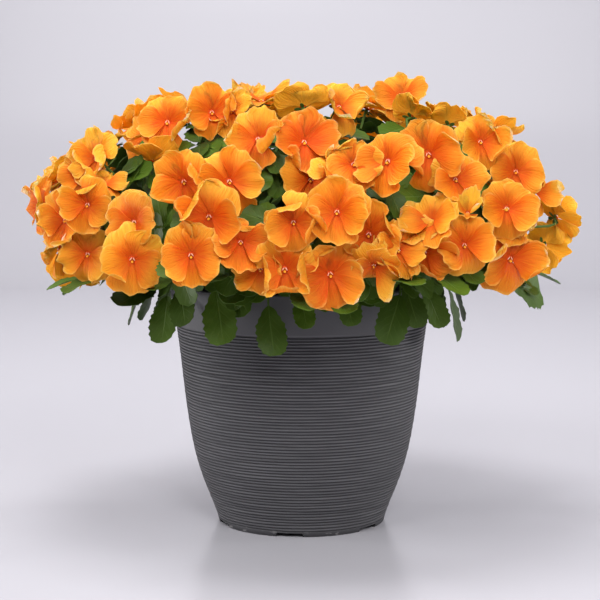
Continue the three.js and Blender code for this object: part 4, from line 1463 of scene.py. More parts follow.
@dataclass
class BloomCrown:
    """All the blooms, one piece for each bloom node of the solids."""

    maker: BloomMaker
    sight: Array
    axis: Array
    finish: bpy.types.Material
    # How far in millimetres a bloom may lie off its row, and how far behind the axis the front goes.
    match: float = 9.0
    front_depth: float = 60 * MM
    others: Pair = (-0.15, 0.45)
    poses: list[BloomPose] = field(default_factory=list)

    def gold(self, pose: BloomPose) -> float:
        """Looks up a bloom's golden share, or draws one for a bloom that the front doesn't show.

        Args:
            pose: The bloom.

        Returns:
            Its golden share.
        """
        drawn = float(self.maker.rng.uniform(*self.others))
        way = pose.place - self.sight
        if way[1] <= 0:
            return drawn
        on_plane = self.sight + way * ((self.axis[1] - self.sight[1]) / way[1]) - self.axis
        across, up = on_plane[0] / MM, on_plane[2] / MM
        row = min(FRONT_GOLD, key=lambda r: math.hypot(r[0] - across, r[1] - up))
        near = math.hypot(row[0] - across, row[1] - up) < self.match
        return row[2] if near and pose.place[1] < self.axis[1] + self.front_depth else drawn

    def build(self) -> list[Piece]:
        """Builds the pieces and hides their nodes.

        Returns:
            The pieces.
        """
        finder = BloomFinder()
        pieces = []
        for node in sorted(n for n in frame["nodes"] if n.startswith("bloom_group_")):
            poses = finder.blooms(Solid.of(node))
            for pose in poses:
                pose.gold = self.gold(pose)
            parts = [part for pose in poses for part in self.maker.made(pose)]
            piece = joined(parts, node.replace("bloom_group", "blooms"))
            dress(piece, self.finish, "petals", node)
            self.poses += poses
            pieces.append(piece)
        return pieces


def dress(piece: Piece, finish: bpy.types.Material, slot: str, *nodes: str) -> None:
    """Gives a piece its finish and its body, and hides the nodes that it stands for.

    Args:
        piece: The piece.
        finish: Its material.
        slot: The record's material slot, which is not used.
        nodes: The CAD nodes that it replaces.
    """
    piece.data.materials.clear()
    piece.data.materials.append(finish)
    piece.data.polygons.foreach_set("material_index", np.zeros(len(piece.data.polygons), np.int32))
    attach(piece, BODY)
    if nodes:
        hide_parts(*nodes)


# Leafy stems


@dataclass
class LeafPattern:
    """A flat toothed leaf that is drawn row by row from its root to its tip."""

    name: str
    rows: int
    tooth: float
    columns: int = 4
    thickness: float = 0.5 * MM

    def half(self, share: float) -> float:
        """Returns the leaf's half width at a share of its length, as a share of its widest."""
        blunt = math.sqrt(max(0.0, 1 - ((share - 0.56) / 0.46) ** 4))
        wedge = min(1.0, 0.12 + share * 1.9)
        return max(0.06, min(blunt, wedge))

    def made(self) -> Pattern:
        """Models the leaf from a grid whose rows are moved, widened and bowed, every other one as a tooth.

        Returns:
            The leaf as a pattern, flat, with its root at the origin and its length along X.
        """
        piece = started(
            bpy.ops.mesh.primitive_grid_add,
            self.name,
            x_subdivisions=self.rows,
            y_subdivisions=self.columns,
            size=2.0,
        )
        wide = self.rows + 1
        with Editing(piece) as edit:
            for row in range(self.rows, -1, -1):
                share = row / self.rows
                at = 2 * share - 1
                edit.points(lambda v, row=row: v.index % wide == row)
                tooth = 1 + self.tooth * (1 if row % 2 else -1)
                stretch = self.half(share) * LEAF_HALF_WIDTH * tooth
                bpy.ops.transform.resize(value=(1, stretch, 1), center_override=(at, 0, 0))
                bpy.ops.transform.translate(value=(share * LEAF_LENGTH - at, 0, 0))
        along = np.tile(np.linspace(0, 1, wide), self.columns + 1)
        across = np.repeat(np.linspace(-1, 1, self.columns + 1), wide)
        mark(piece.data, "leaf", np.c_[across, along, np.zeros(len(along))])
        thickened(piece, "leaf", self.thickness)
        return Pattern.of(piece)


SKIRT_LEAF = LeafPattern("skirt_leaf", rows=16, tooth=0.06)
INNER_LEAF = LeafPattern("inner_leaf", rows=10, tooth=0.06)


@dataclass(frozen=True)
class LeafDraw:
    """How many leaves of a kind are wanted and tried, and their length in shares of the usual one."""

    most: int
    tries: int
    lengths: Pair

    def length(self, rng: np.random.Generator) -> float:
        """Draws the length of one leaf."""
        return rng.uniform(*self.lengths) * LEAF_LENGTH

    def gathered(self, draw: Callable[[], LeafPose], fits: Callable[[LeafPose], bool]) -> list[LeafPose]:
        """Draws leaves until there are enough that fit.

        Args:
            draw: Draws one leaf.
            fits: Says whether a leaf may stay.

        Returns:
            The leaves that fit.
        """
        leaves: list[LeafPose] = []
        for _ in range(self.tries):
            if len(leaves) == self.most:
                break
            leaf = draw()
            if fits(leaf):
                leaves.append(leaf)
        return leaves


@dataclass
class LeafyStems:
    """The green stems, stalks and leaves, one piece for each leafy node of the solids."""

    rng: np.random.Generator
    axis: Array
    finish: bpy.types.Material
    blooms: list[BloomPose]
    stem_radii: Pair = (4.0 * MM, 3.0 * MM)
    stalk_radius: float = 1.5 * MM
    cup: float = 2.3 * MM
    neck: float = 14 * MM
    hang: float = 5 * MM
    # How far behind the throat the stalk and the sepals end, in shares of the bloom's radius.
    seat: float = 0.17
    collar: float = 0.21
    petiole: float = 1.1 * MM
    # How far a leaf's sides stand up from its midrib, and how far a drawn leaf's tip droops.
    fold: float = 2.6 * MM
    droop: float = 6 * MM
    # Where a bloom's stalk starts, as a share of the leafy volume's half size.
    heart: float = 0.6
    filling: LeafDraw = LeafDraw(36, 216, (0.6, 0.95))
    low: LeafDraw = LeafDraw(26, 780, (0.7, 1.0))
    besides: LeafDraw = LeafDraw(5, 24, (0.6, 0.95))
    fringes: LeafDraw = LeafDraw(1, 40, (0.85, 1.05))
    # Where the fringe's leaves stand: factors of their turn in radians, distance and height in millimetres.
    fringe_sides: tuple[float, ...] = (-1.0, 0.1, 1.1)
    fringe_turn: Pair = (0.15, 0.35)
    fringe_reach: Pair = (225, 252)
    fringe_height: Pair = (275, 345)
    petal_depth: float = 6 * MM
    # Inside this distance from the axis leaves stay over the first height, outside it over the second.
    rim_clear: float = 157 * MM
    over_rim: float = 279 * MM
    lowest: float = 240 * MM
    crown_radius: float = 288 * MM
    crown_middle: float = 335 * MM
    crown_rise: float = 148 * MM
    crown_drop: float = 105 * MM
    squareness: float = 2.3
    headroom: float = 0.93
    sepal_length: float = 9.5 * MM

    def __post_init__(self) -> None:
        """Models the patterns once."""
        self.skirt = SKIRT_LEAF.made()
        self.inner = INNER_LEAF.made()
        self.sepal = LeafPattern("sepal", rows=4, tooth=0.0, columns=2, thickness=0.4 * MM).made()
        self.centres = np.array([b.place for b in self.blooms])
        self.turns = np.array([np.array([b.right, b.up, b.face]).T for b in self.blooms])
        self.radii = np.array([b.radius for b in self.blooms])

    def measure(self, place: Array) -> float:
        """Says how far out of the crown a place lies: 1 on the blooms' surface."""
        x, y, z = place - self.axis
        height = z - self.crown_middle
        upwards = height / (self.crown_rise if height > 0 else self.crown_drop)
        level = math.hypot(x, y) / self.crown_radius
        return (level**self.squareness + abs(upwards) ** self.squareness) ** (1 / self.squareness)

    def blade(self, leaf: LeafPose, pattern: Pattern, young: float) -> Piece:
        """Copies a leaf to its place, folded along its midrib and drooping to its tip.

        Args:
            leaf: The leaf's pose.
            pattern: The pattern that is copied.
            young: How light and fresh it is, from 0 to 1.

        Returns:
            The leaf.
        """
        rng = self.rng
        size = leaf.length / LEAF_LENGTH
        x, y, thick = pattern.places.T * np.array([[size], [size], [1.0]])
        across, along, _ = marks_of(pattern.mesh, "leaf").T
        half = LEAF_HALF_WIDTH * size
        height = self.fold * abs(y) / half - leaf.droop * (x / leaf.length) ** 2
        wave = rng.uniform(1.5, 3.0) * along * TURN + rng.uniform(0, TURN)
        height += rng.uniform(0.4, 1.1) * MM * abs(across) ** 2 * np.sin(wave + np.sign(across) * 0.7)
        y = y + rng.uniform(-0.06, 0.06) * leaf.length * (x / leaf.length) ** 2
        local = np.c_[x, y, height + thick]
        world = leaf.root + local @ np.array([leaf.along, leaf.across, leaf.out])
        return pattern.copied(world, {"green": (rng.uniform(0, 1), 0, young)})

    def stalk_of(self, pose: BloomPose, solid: Solid, stem: StemRun) -> Array | None:
        """Reads a bloom's stalk from a leafy solid.

        Args:
            pose: The bloom.
            solid: The leafy solid.
            stem: Its stem.

        Returns:
            The stalk's places from the stem to the bloom, or None where this solid doesn't carry it.
        """
        size = pose.radius / BLOOM_RADIUS
        end = pose.place - pose.face * 1.1 * MM
        cup = np.linalg.norm(solid.places - end, axis=1) < self.cup * size + 0.5 * MM
        if cup.sum() < 2:
            return None
        neck = pose.place - pose.face * self.neck - self.hang * UPWARDS
        ring = np.linalg.norm(solid.places - neck, axis=1) < self.stalk_radius * 2
        ids = set(np.flatnonzero(ring).tolist())
        away = []
        for face in solid.faces:
            for i in range(3):
                a, b = int(face[i]), int(face[(i + 1) % 3])
                if (a in ids) != (b in ids):
                    far = solid.places[b if a in ids else a]
                    if np.linalg.norm(far - neck) > 5 * MM and np.linalg.norm(far - end) > 8 * MM:
                        away.append(unit(far - neck))
        heart = stem.inside(np.zeros(3))
        way = unit(np.mean(away, axis=0)) if away else unit(heart - neck)
        root = self.entry(neck, way, stem)
        tip = self.nearest(root, stem.places[2:])
        return np.array([tip, root, neck, pose.place - pose.face * self.seat * pose.radius])

    def entry(self, neck: Array, way: Array, stem: StemRun) -> Array:
        """Follows a stalk back into the leafy volume.

        Args:
            neck: Where the stalk bends to its bloom.
            way: The way back.
            stem: The stem that it grows from.

        Returns:
            A place well inside the leafy volume.
        """
        steps = neck + way * np.linspace(0, 0.2, 81)[:, None]
        deep = [stem.measure(p) for p in steps]
        best = int(np.argmin(deep))
        inside = [i for i, m in enumerate(deep) if m < self.heart]
        return steps[inside[0] if inside else best]

    def nearest(self, place: Array, run: Array) -> Array:
        """Returns the place of a run that lies nearest to a place."""
        return run[int(np.argmin(np.linalg.norm(run - place, axis=1)))]

    def carried(self, leaf: LeafPose, runs: list[Array], tubes: Tubes) -> None:
        """Adds the short stalk that carries a leaf, from the nearest stem or stalk.

        Args:
            leaf: The leaf.
            runs: The stems and stalks that it may grow from.
            tubes: Where the stalk is added.
        """
        starts = [self.nearest(leaf.root, run) for run in runs]
        start = min(starts, key=lambda s: float(np.linalg.norm(s - leaf.root)))
        gap = float(np.linalg.norm(leaf.root - start))
        middle = (start + leaf.root) / 2 - leaf.along * 0.12 * gap + 0.06 * gap * UPWARDS
        ahead = leaf.root + leaf.along * 3 * MM
        run = eased([start, middle, leaf.root, ahead], 2)
        tubes.add(run, np.linspace(self.petiole * 1.2, self.petiole * 0.8, len(run)))

    def filled(self, stem: StemRun) -> list[LeafPose]:
        """Draws the many leaves that fill a stem's leafy volume.

        Args:
            stem: The stem.

        Returns:
            The leaves.
        """
        rng = self.rng

        def draw() -> LeafPose:
            """Draws one leaf that leans out of the volume."""
            away = unit(rng.normal(0, 1, 3) * np.array([1, 1, 0.9]))
            root = stem.inside(away * rng.uniform(0.25, 0.6))
            outward = unit(root - stem.centre)
            turn = unit(np.cross(outward, rng.normal(0, 1, 3)))
            way = unit(turn + outward * rng.uniform(0.3, 0.9) + 0.15 * UPWARDS)
            return self.facing(root, way, outward + 0.7 * UPWARDS, self.filling.length(rng))

        return self.filling.gathered(draw, self.clear)

    def facing(self, root: Array, way: Array, shown: Array, length: float) -> LeafPose:
        """Lays a leaf from its root along a way, with its upper side turned to another."""
        out = unit(shown - way * (shown @ way))
        return LeafPose(root, way, np.cross(out, way), out, length, self.droop)

    def clear(self, leaf: LeafPose) -> bool:
        """Says whether a leaf stays inside the crown and clear of the pot's rim and of the mix."""
        if self.measure(leaf.root + leaf.along * leaf.length) > self.headroom:
            return False
        for share in (0.0, 0.25, 0.5, 0.75, 1.0):
            x, y, z = leaf.root + leaf.along * leaf.length * share - self.axis
            over_pot = math.hypot(x, y) < self.rim_clear
            if z < (self.over_rim if over_pot else self.lowest):
                return False
        return True

    def outer(self, stem: StemRun) -> bool:
        """Says whether a stem leans out over the pot's rim."""
        return float(np.linalg.norm((stem.centre - self.axis) * LEVEL)) >= self.rim_clear

    def under(self, stem: StemRun) -> list[LeafPose]:
        """Draws the leaves that hang out low over the rim, from the lower half of an outer stem's volume.

        Args:
            stem: The stem.

        Returns:
            The leaves.
        """
        rng = self.rng

        def draw() -> LeafPose:
            """Draws one leaf that points outwards and down."""
            low = np.array([rng.uniform(-0.75, 0.75), rng.uniform(-0.95, 0.95), rng.uniform(-0.95, -0.3)])
            root = stem.inside(low)
            outward = unit((root - self.axis) * LEVEL)
            aside = np.cross(UPWARDS, outward) * rng.uniform(-1.1, 1.1)
            way = unit(outward * rng.uniform(0.1, 1.0) + aside + rng.uniform(-0.9, 0.1) * UPWARDS)
            return self.facing(root, way, outward + 0.5 * UPWARDS, self.low.length(rng))

        return self.low.gathered(draw, self.clear) if self.outer(stem) else []

    def fringe(self, stem: StemRun) -> list[LeafPose]:
        """Draws the few leaves that reach out between the lowest blooms of an outer stem.

        Args:
            stem: The stem.

        Returns:
            The leaves.
        """
        rng = self.rng
        leaves: list[LeafPose] = []
        level = (stem.centre - self.axis) * LEVEL
        for side in self.fringe_sides if self.outer(stem) else ():

            def draw(side: float = side) -> LeafPose:
                """Draws one leaf on that side of the stem."""
                turn = side * rng.uniform(*self.fringe_turn)
                outward = unit(np.array(Matrix.Rotation(turn, 3, "Z") @ Vector(level)))
                height = rng.uniform(*self.fringe_height) * MM * UPWARDS
                root = self.axis + outward * rng.uniform(*self.fringe_reach) * MM + height
                aside = np.cross(UPWARDS, outward) * rng.uniform(-0.6, 0.6)
                way = unit(outward + aside + rng.uniform(-0.5, 0.15) * UPWARDS)
                return self.facing(root, way, outward * 0.3 + UPWARDS, self.fringes.length(rng))

            leaves += self.fringes.gathered(draw, lambda leaf: self.free(leaf, -0.6))
        return leaves

    def free(self, leaf: LeafPose, start: float) -> bool:
        """Says whether a leaf passes through no bloom.

        Args:
            leaf: The leaf.
            start: Where the test starts, in shares of its length from its root.

        Returns:
            Whether it is free.
        """
        places = leaf.root + leaf.along * leaf.length * np.linspace(start, 1, 19)[:, None]
        local = (places - self.centres[:, None]) @ self.turns
        over = np.hypot(local[..., 0], local[..., 1]) < self.radii[:, None]
        return not bool((over & (abs(local[..., 2]) < self.petal_depth)).any())

    def beside(self, stalk: Array, pose: BloomPose) -> list[LeafPose]:
        """Draws the leaves that stand out of a bloom's stalk, a little behind the blooms.

        Args:
            stalk: The stalk's places.
            pose: The bloom.

        Returns:
            The leaves.
        """
        rng = self.rng
        away = np.linalg.norm(stalk - pose.place, axis=1)
        heart = self.axis + self.crown_middle * 0.85 * UPWARDS

        def draw() -> LeafPose:
            """Draws one leaf that stands across the stalk."""
            root = stalk[int(np.argmin(abs(away - rng.uniform(16, 50) * MM)))]
            out = unit(root - heart)
            aside = unit(np.cross(out, rng.normal(0, 1, 3)))
            way = unit(aside + out * rng.uniform(-0.1, 0.35))
            return self.facing(root, way, out + 0.3 * UPWARDS, self.besides.length(rng))

        return self.besides.gathered(draw, lambda leaf: self.clear(leaf) and self.free(leaf, 0.0))

    def sepals(self, pose: BloomPose) -> list[Piece]:
        """Makes the five small green sepals behind a bloom.

        Args:
            pose: The bloom.

        Returns:
            The sepals.
        """
        parts = []
        for k in range(5):
            turn = TURN * (k + 0.25) / 5
            way = pose.right * math.cos(turn) + pose.up * math.sin(turn)
            root = pose.place - pose.face * self.collar * pose.radius + way * 0.6 * MM
            along = unit(way - pose.face * 0.22)
            out = unit(pose.face + way * 0.22)
            size = self.sepal_length * pose.radius / BLOOM_RADIUS
            local = self.sepal.places * np.array([size / LEAF_LENGTH, 0.13, 1.0])
            world = root + local @ np.array([along, np.cross(out, along), out])
            parts.append(self.sepal.copied(world, {"green": (0.6, 0.55, 0.3)}))
        return parts

    def placed(
        self,
        leaves: Sequence[LeafPose],
        pattern: Pattern,
        young: Pair,
        runs: list[Array],
        tubes: Tubes,
    ) -> list[Piece]:
        """Copies leaves to their places and adds the short stalks that carry them.

        Args:
            leaves: The leaves' poses.
            pattern: The pattern that is copied.
            young: How light and fresh they are, as a range.
            runs: The stems and stalks that they may grow from, or none.
            tubes: Where the stalks are added.

        Returns:
            The leaves.
        """
        parts = []
        for leaf in leaves:
            parts.append(self.blade(leaf, pattern, float(self.rng.uniform(*young))))
            if runs:
                self.carried(leaf, runs, tubes)
        return parts

    def build(self) -> list[Piece]:
        """Builds the pieces and hides their nodes.

        Returns:
            The pieces.
        """
        finder, stems, pieces = LeafFinder(), StemFinder(), []
        left = list(self.blooms)
        total = 0
        for node in sorted(n for n in frame["nodes"] if n.startswith("leafy_stem_")):
            solid = Solid.of(node)
            stem = stems.run(solid, self.axis)
            tubes = Tubes()
            tubes.add(stem.places, np.linspace(*self.stem_radii, len(stem.places)))
            runs = [stem.places[2:]]
            parts = []
            small: list[LeafPose] = []
            for pose in list(left):
                stalk = self.stalk_of(pose, solid, stem)
                if stalk is None:
                    continue
                left = [b for b in left if b is not pose]
                run = eased(stalk, 3)
                size = pose.radius / BLOOM_RADIUS
                radii = np.full(len(run), self.stalk_radius)
                radii[-1] = self.cup * size
                radii[-2] = self.stalk_radius * 1.1
                tubes.add(run, radii)
                runs.append(run[3:-2])
                small += self.beside(run[3:-2], pose)
                parts += self.sepals(pose)
            leaves = finder.leaves(solid)
            total += len(leaves)
            parts += self.placed(leaves, self.skirt, (0, 0.45), runs, tubes)
            inner = [*self.filled(stem), *self.under(stem)]
            parts += self.placed(inner, self.inner, (0, 0.3), runs[:1], tubes)
            parts += self.placed(small, self.inner, (0, 0.4), [], tubes)
            parts += self.placed(self.fringe(stem), self.skirt, (0.1, 0.6), runs, tubes)
            green = tubes.made("stalks")
            mark(green.data, "leaf", (0.5, 0.5, 0))
            mark(green.data, "green", (0.5, 1, 0))
            piece = joined([green, *parts], node.replace("leafy_stem", "greens"))
            dress(piece, self.finish, "foliage", node)
            pieces.append(piece)
        log.info("leaves found in the solids: %d, blooms without a stalk: %d", total, len(left))
        return pieces


# Pot and potting mix


@dataclass
class RibbedPot:
    """The moulded pot: foot ring, fine ribs, smooth band, rim, open inside and drain holes."""

    axis: Array
    finish: bpy.types.Material
    # Outer radius at heights, in millimetres.
    side: tuple[Pair, ...] = (
        (6, 97), (18, 101), (53, 114.5), (87, 124), (135, 132), (204, 140), (275, 150),
    )
    height: float = 275
    band: float = 44
    rim: float = 150
    foot_height: float = 6
    foot_radius: float = 95
    wall: float = 3
    floor: float = 5
    lip: float = 7
    pitch: float = 3.45
    groove: float = 1.1
    steps: int = 192
    notches: int = 6
    notch_size: Pair = (30, 4.5)
    notch_depth: float = 20
    notch_edge: float = 1.6
    notch_turn: float = -8
    drains: int = 6
    drain_radius: float = 6
    drain_ring: float = 62
    drain_middle: float = 9
    drain_depth: float = 24
    # Heights of the two bends of the inside.
    bends: Pair = (14, 87)
    # How far ribs wander up and down and swell in and out, each as a slow and a quick wave.
    wander: Pair = (0.15, 0.1)
    swell: Pair = (0.12, 0.08)

    def radius(self, z: float | Array) -> float | Array:
        """Returns the pot's outer radius at one height or more, in millimetres, on a smooth curve."""
        heights, radii = eased(self.side, 8).T
        return np.interp(z, heights, radii)

    def profile(self) -> list[Pair]:
        """Draws the pot's section from the axis under the floor, up its outside and down its inside.

        Returns:
            Distances and heights in millimetres.
        """
        top = self.height - self.band
        ribs = round((top - self.foot_height) / self.pitch)
        pitch = (top - self.foot_height) / ribs
        foot = self.foot_radius
        # The roundings of the foot ring and of the rim are drawn point by point.
        line: list[Pair] = [(0, self.foot_height), (foot - 7, self.foot_height)]
        line += [(foot - 6, 0.6), (foot - 5.4, 0), (foot - 0.6, 0), (foot + 0.2, 0.6)]
        line.append((self.radius(self.foot_height) - 0.4, self.foot_height - 0.4))
        for k in range(ribs):
            low = self.foot_height + k * pitch
            for share, depth in ((0.08, 1.0), (0.3, 1.0), (0.46, 0.12), (0.84, 0.0)):
                z = low + share * pitch
                line.append((self.radius(z) - depth * self.groove, z))
        rim, high = self.rim, self.height
        line += [(self.radius(top), top + 0.5), (self.radius(top + 16) + 0.2, top + 16)]
        line += [(rim - 0.1, high - 5), (rim, high - 1.6), (rim - 0.6, high - 0.4), (rim - 1.8, high)]
        line += [(rim - 5.4, high), (rim - self.lip + 0.4, high - 0.6), (rim - self.lip, high - 2)]
        low, bend = self.bends
        line += [(self.radius(top) - self.wall - 1, top), (self.radius(bend) - self.wall - 1, bend)]
        line += [(foot - self.wall + 1, low), (foot - self.wall - 1, self.foot_height + self.floor)]
        line.append((0, self.foot_height + self.floor))
        return line

    def cut(self, piece: Piece, cutters: list[Piece]) -> None:
        """Cuts shapes out of the pot and removes them."""
        tool = joined(cutters, "cutter")
        finished(piece, "BOOLEAN", object=tool, operation="DIFFERENCE", solver="MANIFOLD")
        bpy.data.objects.remove(tool)

    def holes(self) -> list[Piece]:
        """Makes the cutters of the drain holes and of the notches in the foot ring.

        Returns:
            The cutters.
        """
        cutters = []
        for k in range(self.drains):
            turn = TURN * (k + 0.5) / self.drains
            ring = self.drain_ring * MM
            at = (ring * math.cos(turn), ring * math.sin(turn), self.drain_middle * MM)
            size = {"radius": self.drain_radius * MM, "depth": self.drain_depth * MM}
            hole = {"vertices": 24, "location": at, **size}
            cutters.append(started(bpy.ops.mesh.primitive_cylinder_add, "drain", **hole))
        wide, high = self.notch_size
        for k in range(self.notches):
            turn = -TURN / 4 + math.radians(self.notch_turn) + TURN * k / self.notches
            foot = self.foot_radius * MM
            at = (foot * math.cos(turn), foot * math.sin(turn), 0)
            size = np.array([self.notch_depth, wide, 2 * high]) * MM
            notch = started(bpy.ops.mesh.primitive_cube_add, "notch", size=1.0)
            with Editing(notch):
                bpy.ops.mesh.select_all(action="SELECT")
                bpy.ops.transform.resize(value=size, center_override=(0, 0, 0))
            finished(notch, "BEVEL", width=self.notch_edge * MM, segments=3)
            notch.rotation_euler.z = turn
            notch.location = at
            hold(notch)
            bpy.ops.object.transform_apply(location=True, rotation=True, scale=True)
            cutters.append(notch)
        return cutters

    def relief(self, piece: Piece) -> None:
        """Marks crests, band and inside, lets the ribs wander a little, and moves the pot to its axis."""
        places = places_of(piece.data)
        r = np.hypot(places[:, 0], places[:, 1]) / MM
        z = places[:, 2] / MM
        turn = np.arctan2(places[:, 1], places[:, 0])
        outer = self.radius(z)
        top = self.height - self.band
        depth = (outer - r) / self.groove
        outside = (r > outer - 1.6 * self.groove) | (z < self.foot_height - 0.2)
        ribbed = outside & (z > self.foot_height) & (z < top)
        # The crest mark sets the painted highlight on the crests and the painted shade in the grooves; the
        # inside mark sets the painted shade inside the pot.
        crest = np.where(outside, np.clip(1 - depth, 0, 1), 0.4)
        band = (outside & (z >= top - 0.2)).astype(float)
        mark(piece.data, "relief", np.c_[crest, band, ~outside])
        rib = np.floor((z - self.foot_height) / self.pitch)
        slow, quick = self.wander
        wander = slow * np.sin(2 * turn + rib * 1.9) + quick * np.sin(5 * turn + rib * 4.3)
        places[:, 2] += np.where(ribbed, wander * MM, 0)
        slow, quick = self.swell
        swell = slow * np.sin(7 * turn + rib * 2.7) + quick * np.sin(17 * turn + rib * 1.3)
        factor = np.where(ribbed & (crest > 0.5), 1 + (swell - 0.15) / np.maximum(r, 1), 1)
        places[:, :2] *= factor[:, None]
        set_places(piece.data, places + self.axis)

    def build(self) -> Piece:
        """Builds the pot and hides its node.

        Returns:
            The pot.
        """
        piece = spun(self.profile(), "ribbed_pot", self.steps)
        self.cut(piece, self.holes())
        self.relief(piece)
        smoothed(piece, 28)
        dress(piece, self.finish, "pot_plastic", "planter_pot")
        return piece


@dataclass
class MixBed:
    """The potting mix: a plug that fills the pot, with an uneven top, crumbs and white grains."""

    axis: Array
    rng: np.random.Generator
    finish: bpy.types.Material
    # Distance and height in millimetres, from the middle of the base up to the rim of the top.
    outline: tuple[Pair, ...] = ((0, 11.3), (91.7, 11.3), (119.7, 87), (139.5, 231), (140.9, 250))
    crown: float = 5
    rings: int = 22
    steps: int = 64
    crumbs: int = 420
    top: float = 250
    # How far down and up the top's points lie, and the least and greatest size of grains and crumbs.
    rough: Pair = (-2.2, 1.6)
    grain: Pair = (1.2, 2.2)
    bark: Pair = (1.6, 4.2)

    def surface(self, r: float) -> float:
        """Returns the height of the mix's top at a distance from the axis, in millimetres."""
        return self.top + self.crown * (1 - (r / self.outline[-1][0]) ** 2)

    def plug(self) -> Piece:
        """Draws the plug's section, spins it and roughens its top.

        Returns:
            The plug.
        """
        edge = self.outline[-1][0]
        tops = [edge * (1 - k / self.rings) for k in range(1, self.rings + 1)]
        line = [*self.outline, *((r, self.surface(r)) for r in tops)]
        piece = spun(line, "mix_bed", self.steps)
        places = places_of(piece.data)
        r = np.hypot(places[:, 0], places[:, 1]) / MM
        top = (places[:, 2] > (self.top - 0.5) * MM) & (r < edge - 1)
        rough = self.rng.uniform(*self.rough, len(places)) * MM
        places[:, 2] += np.where(top, rough, 0)
        set_places(piece.data, places + self.axis)
        mark(piece.data, "crumb", (0.3, 0, 0))
        smoothed(piece, 35)
        return piece

    def crumb(self, pattern: Pattern) -> Piece:
        """Copies one crumb, bark chip or white grain onto the top.

        Args:
            pattern: The crumb that is copied.

        Returns:
            The crumb.
        """
        rng = self.rng
        white = rng.random() < 0.1
        fibre = not white and rng.random() < 0.25
        reach = (self.outline[-1][0] - 5) * math.sqrt(rng.uniform(0, 1))
        turn = rng.uniform(0, TURN)
        size = rng.uniform(*(self.grain if white else self.bark))
        stretch = np.array([2.4, 0.5, 0.4]) if fibre else rng.uniform(0.7, 1.3, 3)
        spin = Matrix.Rotation(rng.uniform(0, TURN), 3, "Z")
        spin = spin @ Matrix.Rotation(rng.uniform(-0.4, 0.4), 3, "X")
        height = self.surface(reach) + size * 0.2
        at = np.array([reach * math.cos(turn), reach * math.sin(turn), height]) * MM
        places = (pattern.places * stretch * size * MM) @ np.array(spin).T + at + self.axis
        return pattern.copied(places, {"crumb": (rng.uniform(0, 1), float(white), float(fibre))})

    def build(self) -> Piece:
        """Builds the mix and hides its node.

        Returns:
            The mix.
        """
        ball = started(bpy.ops.mesh.primitive_ico_sphere_add, "crumb", subdivisions=2, radius=1.0)
        roughened(ball, self.rng, 0.72, 1.15)
        pattern = Pattern.of(ball)
        parts = [self.plug(), *(self.crumb(pattern) for _ in range(self.crumbs))]
        piece = joined(parts, "mix_bed")
        dress(piece, self.finish, "potting_mix", "potting_mix")
        return piece


# Studio


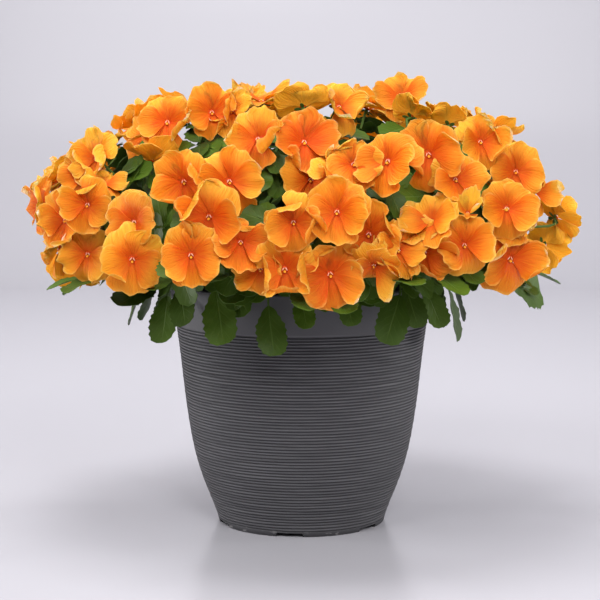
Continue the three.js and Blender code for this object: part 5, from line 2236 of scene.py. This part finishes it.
@dataclass
class Studio:
    """Pale seamless floor, soft lights and the camera."""

    axis: Array
    sight: Triple = (0.0, -2.05, 0.478)
    aim: Triple = (-0.0017, 0.0, 0.2539)
    focal_pixels: float = 1803.0
    frame_pixels: float = 600.0
    sensor: float = 36.0
    far: float = 50.0
    # Half the floor's side, how far back its wall begins, the wall's height and the round between them.
    reach: float = 6.0
    wall: float = 2.6
    height: float = 6.0
    sweep: float = 1.0
    bends: int = 24
    # Each light's name, place, aim, side and power.
    lights: tuple[tuple[str, Triple, Triple, float, float], ...] = (
        ("key", (-1.2, -1.8, 2.1), (0, 0, 0.3), 0.9, 35.0),
        ("fill", (1.5, -1.7, 1.5), (0, 0, 0.3), 1.2, 14.0),
        ("top", (-0.2, -0.2, 2.2), (0, 0, 0.3), 0.8, 29.0),
        ("left", (-2.3, 0.4, 0.28), (0, 0, 0.4), 0.4, 25.0),
        ("right", (2.3, 0.4, 0.35), (0, 0, 0.4), 0.5, 22.0),
        ("near", (0.3, -1.8, 1.3), (0.1, -0.6, 0), 0.6, 20.0),
        ("backdrop", (0.0, 1.4, 2.7), (0.0, 3.4, 1.3), 3.0, 78.0),
    )
    sky: Colour = (236, 235, 243)
    sky_strength: float = 0.4

    def aimed(self, name: str, data: bpy.types.ID, place: Vector, aim: Vector) -> Piece:
        """Adds a camera or a light that looks from one place to another.

        Args:
            name: Its name.
            data: The camera's or the light's data.
            place: Where it stands.
            aim: Where it looks.

        Returns:
            The object.
        """
        piece = bpy.data.objects.new(name, data)
        piece.location = place
        piece.rotation_euler = (aim - place).to_track_quat("-Z", "Y").to_euler()
        bpy.context.scene.collection.objects.link(piece)
        return piece

    def camera(self) -> None:
        """Sets the camera at the photograph's viewpoint."""
        data = bpy.data.cameras.new("camera")
        data.sensor_width = self.sensor
        data.lens = self.sensor * self.focal_pixels / self.frame_pixels
        data.clip_end = self.far
        axis = Vector(self.axis)
        place, aim = axis + Vector(self.sight), axis + Vector(self.aim)
        bpy.context.scene.camera = self.aimed("camera", data, place, aim)

    def floor(self) -> None:
        """Makes the floor, which sweeps up into the backdrop behind the planter."""
        piece = started(bpy.ops.mesh.primitive_plane_add, "floor", size=2 * self.reach)
        with Editing(piece) as edit:
            edit.points(lambda v: v.co.y > 0)
            corner = self.wall + self.sweep
            bpy.ops.transform.translate(value=(0, corner - self.reach, 0))
            bpy.ops.mesh.extrude_region_move(TRANSFORM_OT_translate={"value": (0, 0, self.height)})
            edit.points(lambda v: abs(v.co.y - corner) < 1e-4 and abs(v.co.z) < 1e-4)
            bpy.ops.mesh.bevel(offset=self.sweep, segments=self.bends, affect="EDGES")
        smoothed(piece, 40)
        piece.data.materials.append(FloorFinish().material())

    def light(self, name: str, place: Triple, aim: Triple, size: float, watts: float) -> None:
        """Adds a soft square light.

        Args:
            name: The light's name.
            place: Where it stands.
            aim: Where it looks.
            size: Its side.
            watts: Its power.
        """
        data = bpy.data.lights.new(name, "AREA")
        data.size = size
        data.energy = watts
        self.aimed(name, data, Vector(place), Vector(aim))

    def build(self) -> None:
        """Sets up the stage, the lights, the camera and plain colour handling."""
        self.camera()
        self.floor()
        for row in self.lights:
            self.light(*row)
        world = bpy.data.worlds.new("world")
        world.use_nodes = True
        background = next(n for n in world.node_tree.nodes if n.type == "BACKGROUND")
        background.inputs["Color"].default_value = linear(self.sky)
        background.inputs["Strength"].default_value = self.sky_strength
        bpy.context.scene.world = world
        bpy.context.scene.view_settings.view_transform = "Standard"


def report(piece: Piece) -> None:
    """Logs a piece's name and how many faces it has."""
    log.info("%s: %d faces", piece.name, len(piece.data.polygons))


def main() -> None:
    """Builds every part of the planter and the studio round it, in order."""
    logging.basicConfig(level=logging.INFO, format="%(message)s")
    low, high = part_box("planter_pot")
    axis = np.array([(low.x + high.x) / 2, (low.y + high.y) / 2, 0.0])
    studio = Studio(axis)
    studio.build()
    report(RibbedPot(axis, PotFinish().material()).build())
    report(MixBed(axis, np.random.default_rng(7), MixFinish().material()).build())
    sight = axis + np.array(studio.sight)
    crown = BloomCrown(BloomMaker(np.random.default_rng(21)), sight, axis, PetalFinish().material())
    for piece in crown.build():
        report(piece)
    log.info("blooms found in the solids: %d", len(crown.poses))
    green = FoliageFinish().material()
    for piece in LeafyStems(np.random.default_rng(33), axis, green, crown.poses).build():
        report(piece)
    faces = sum(len(o.data.polygons) for o in bpy.data.objects if o.type == "MESH")
    log.info("all faces: %d", faces)


if __name__ == "__main__":
    main()
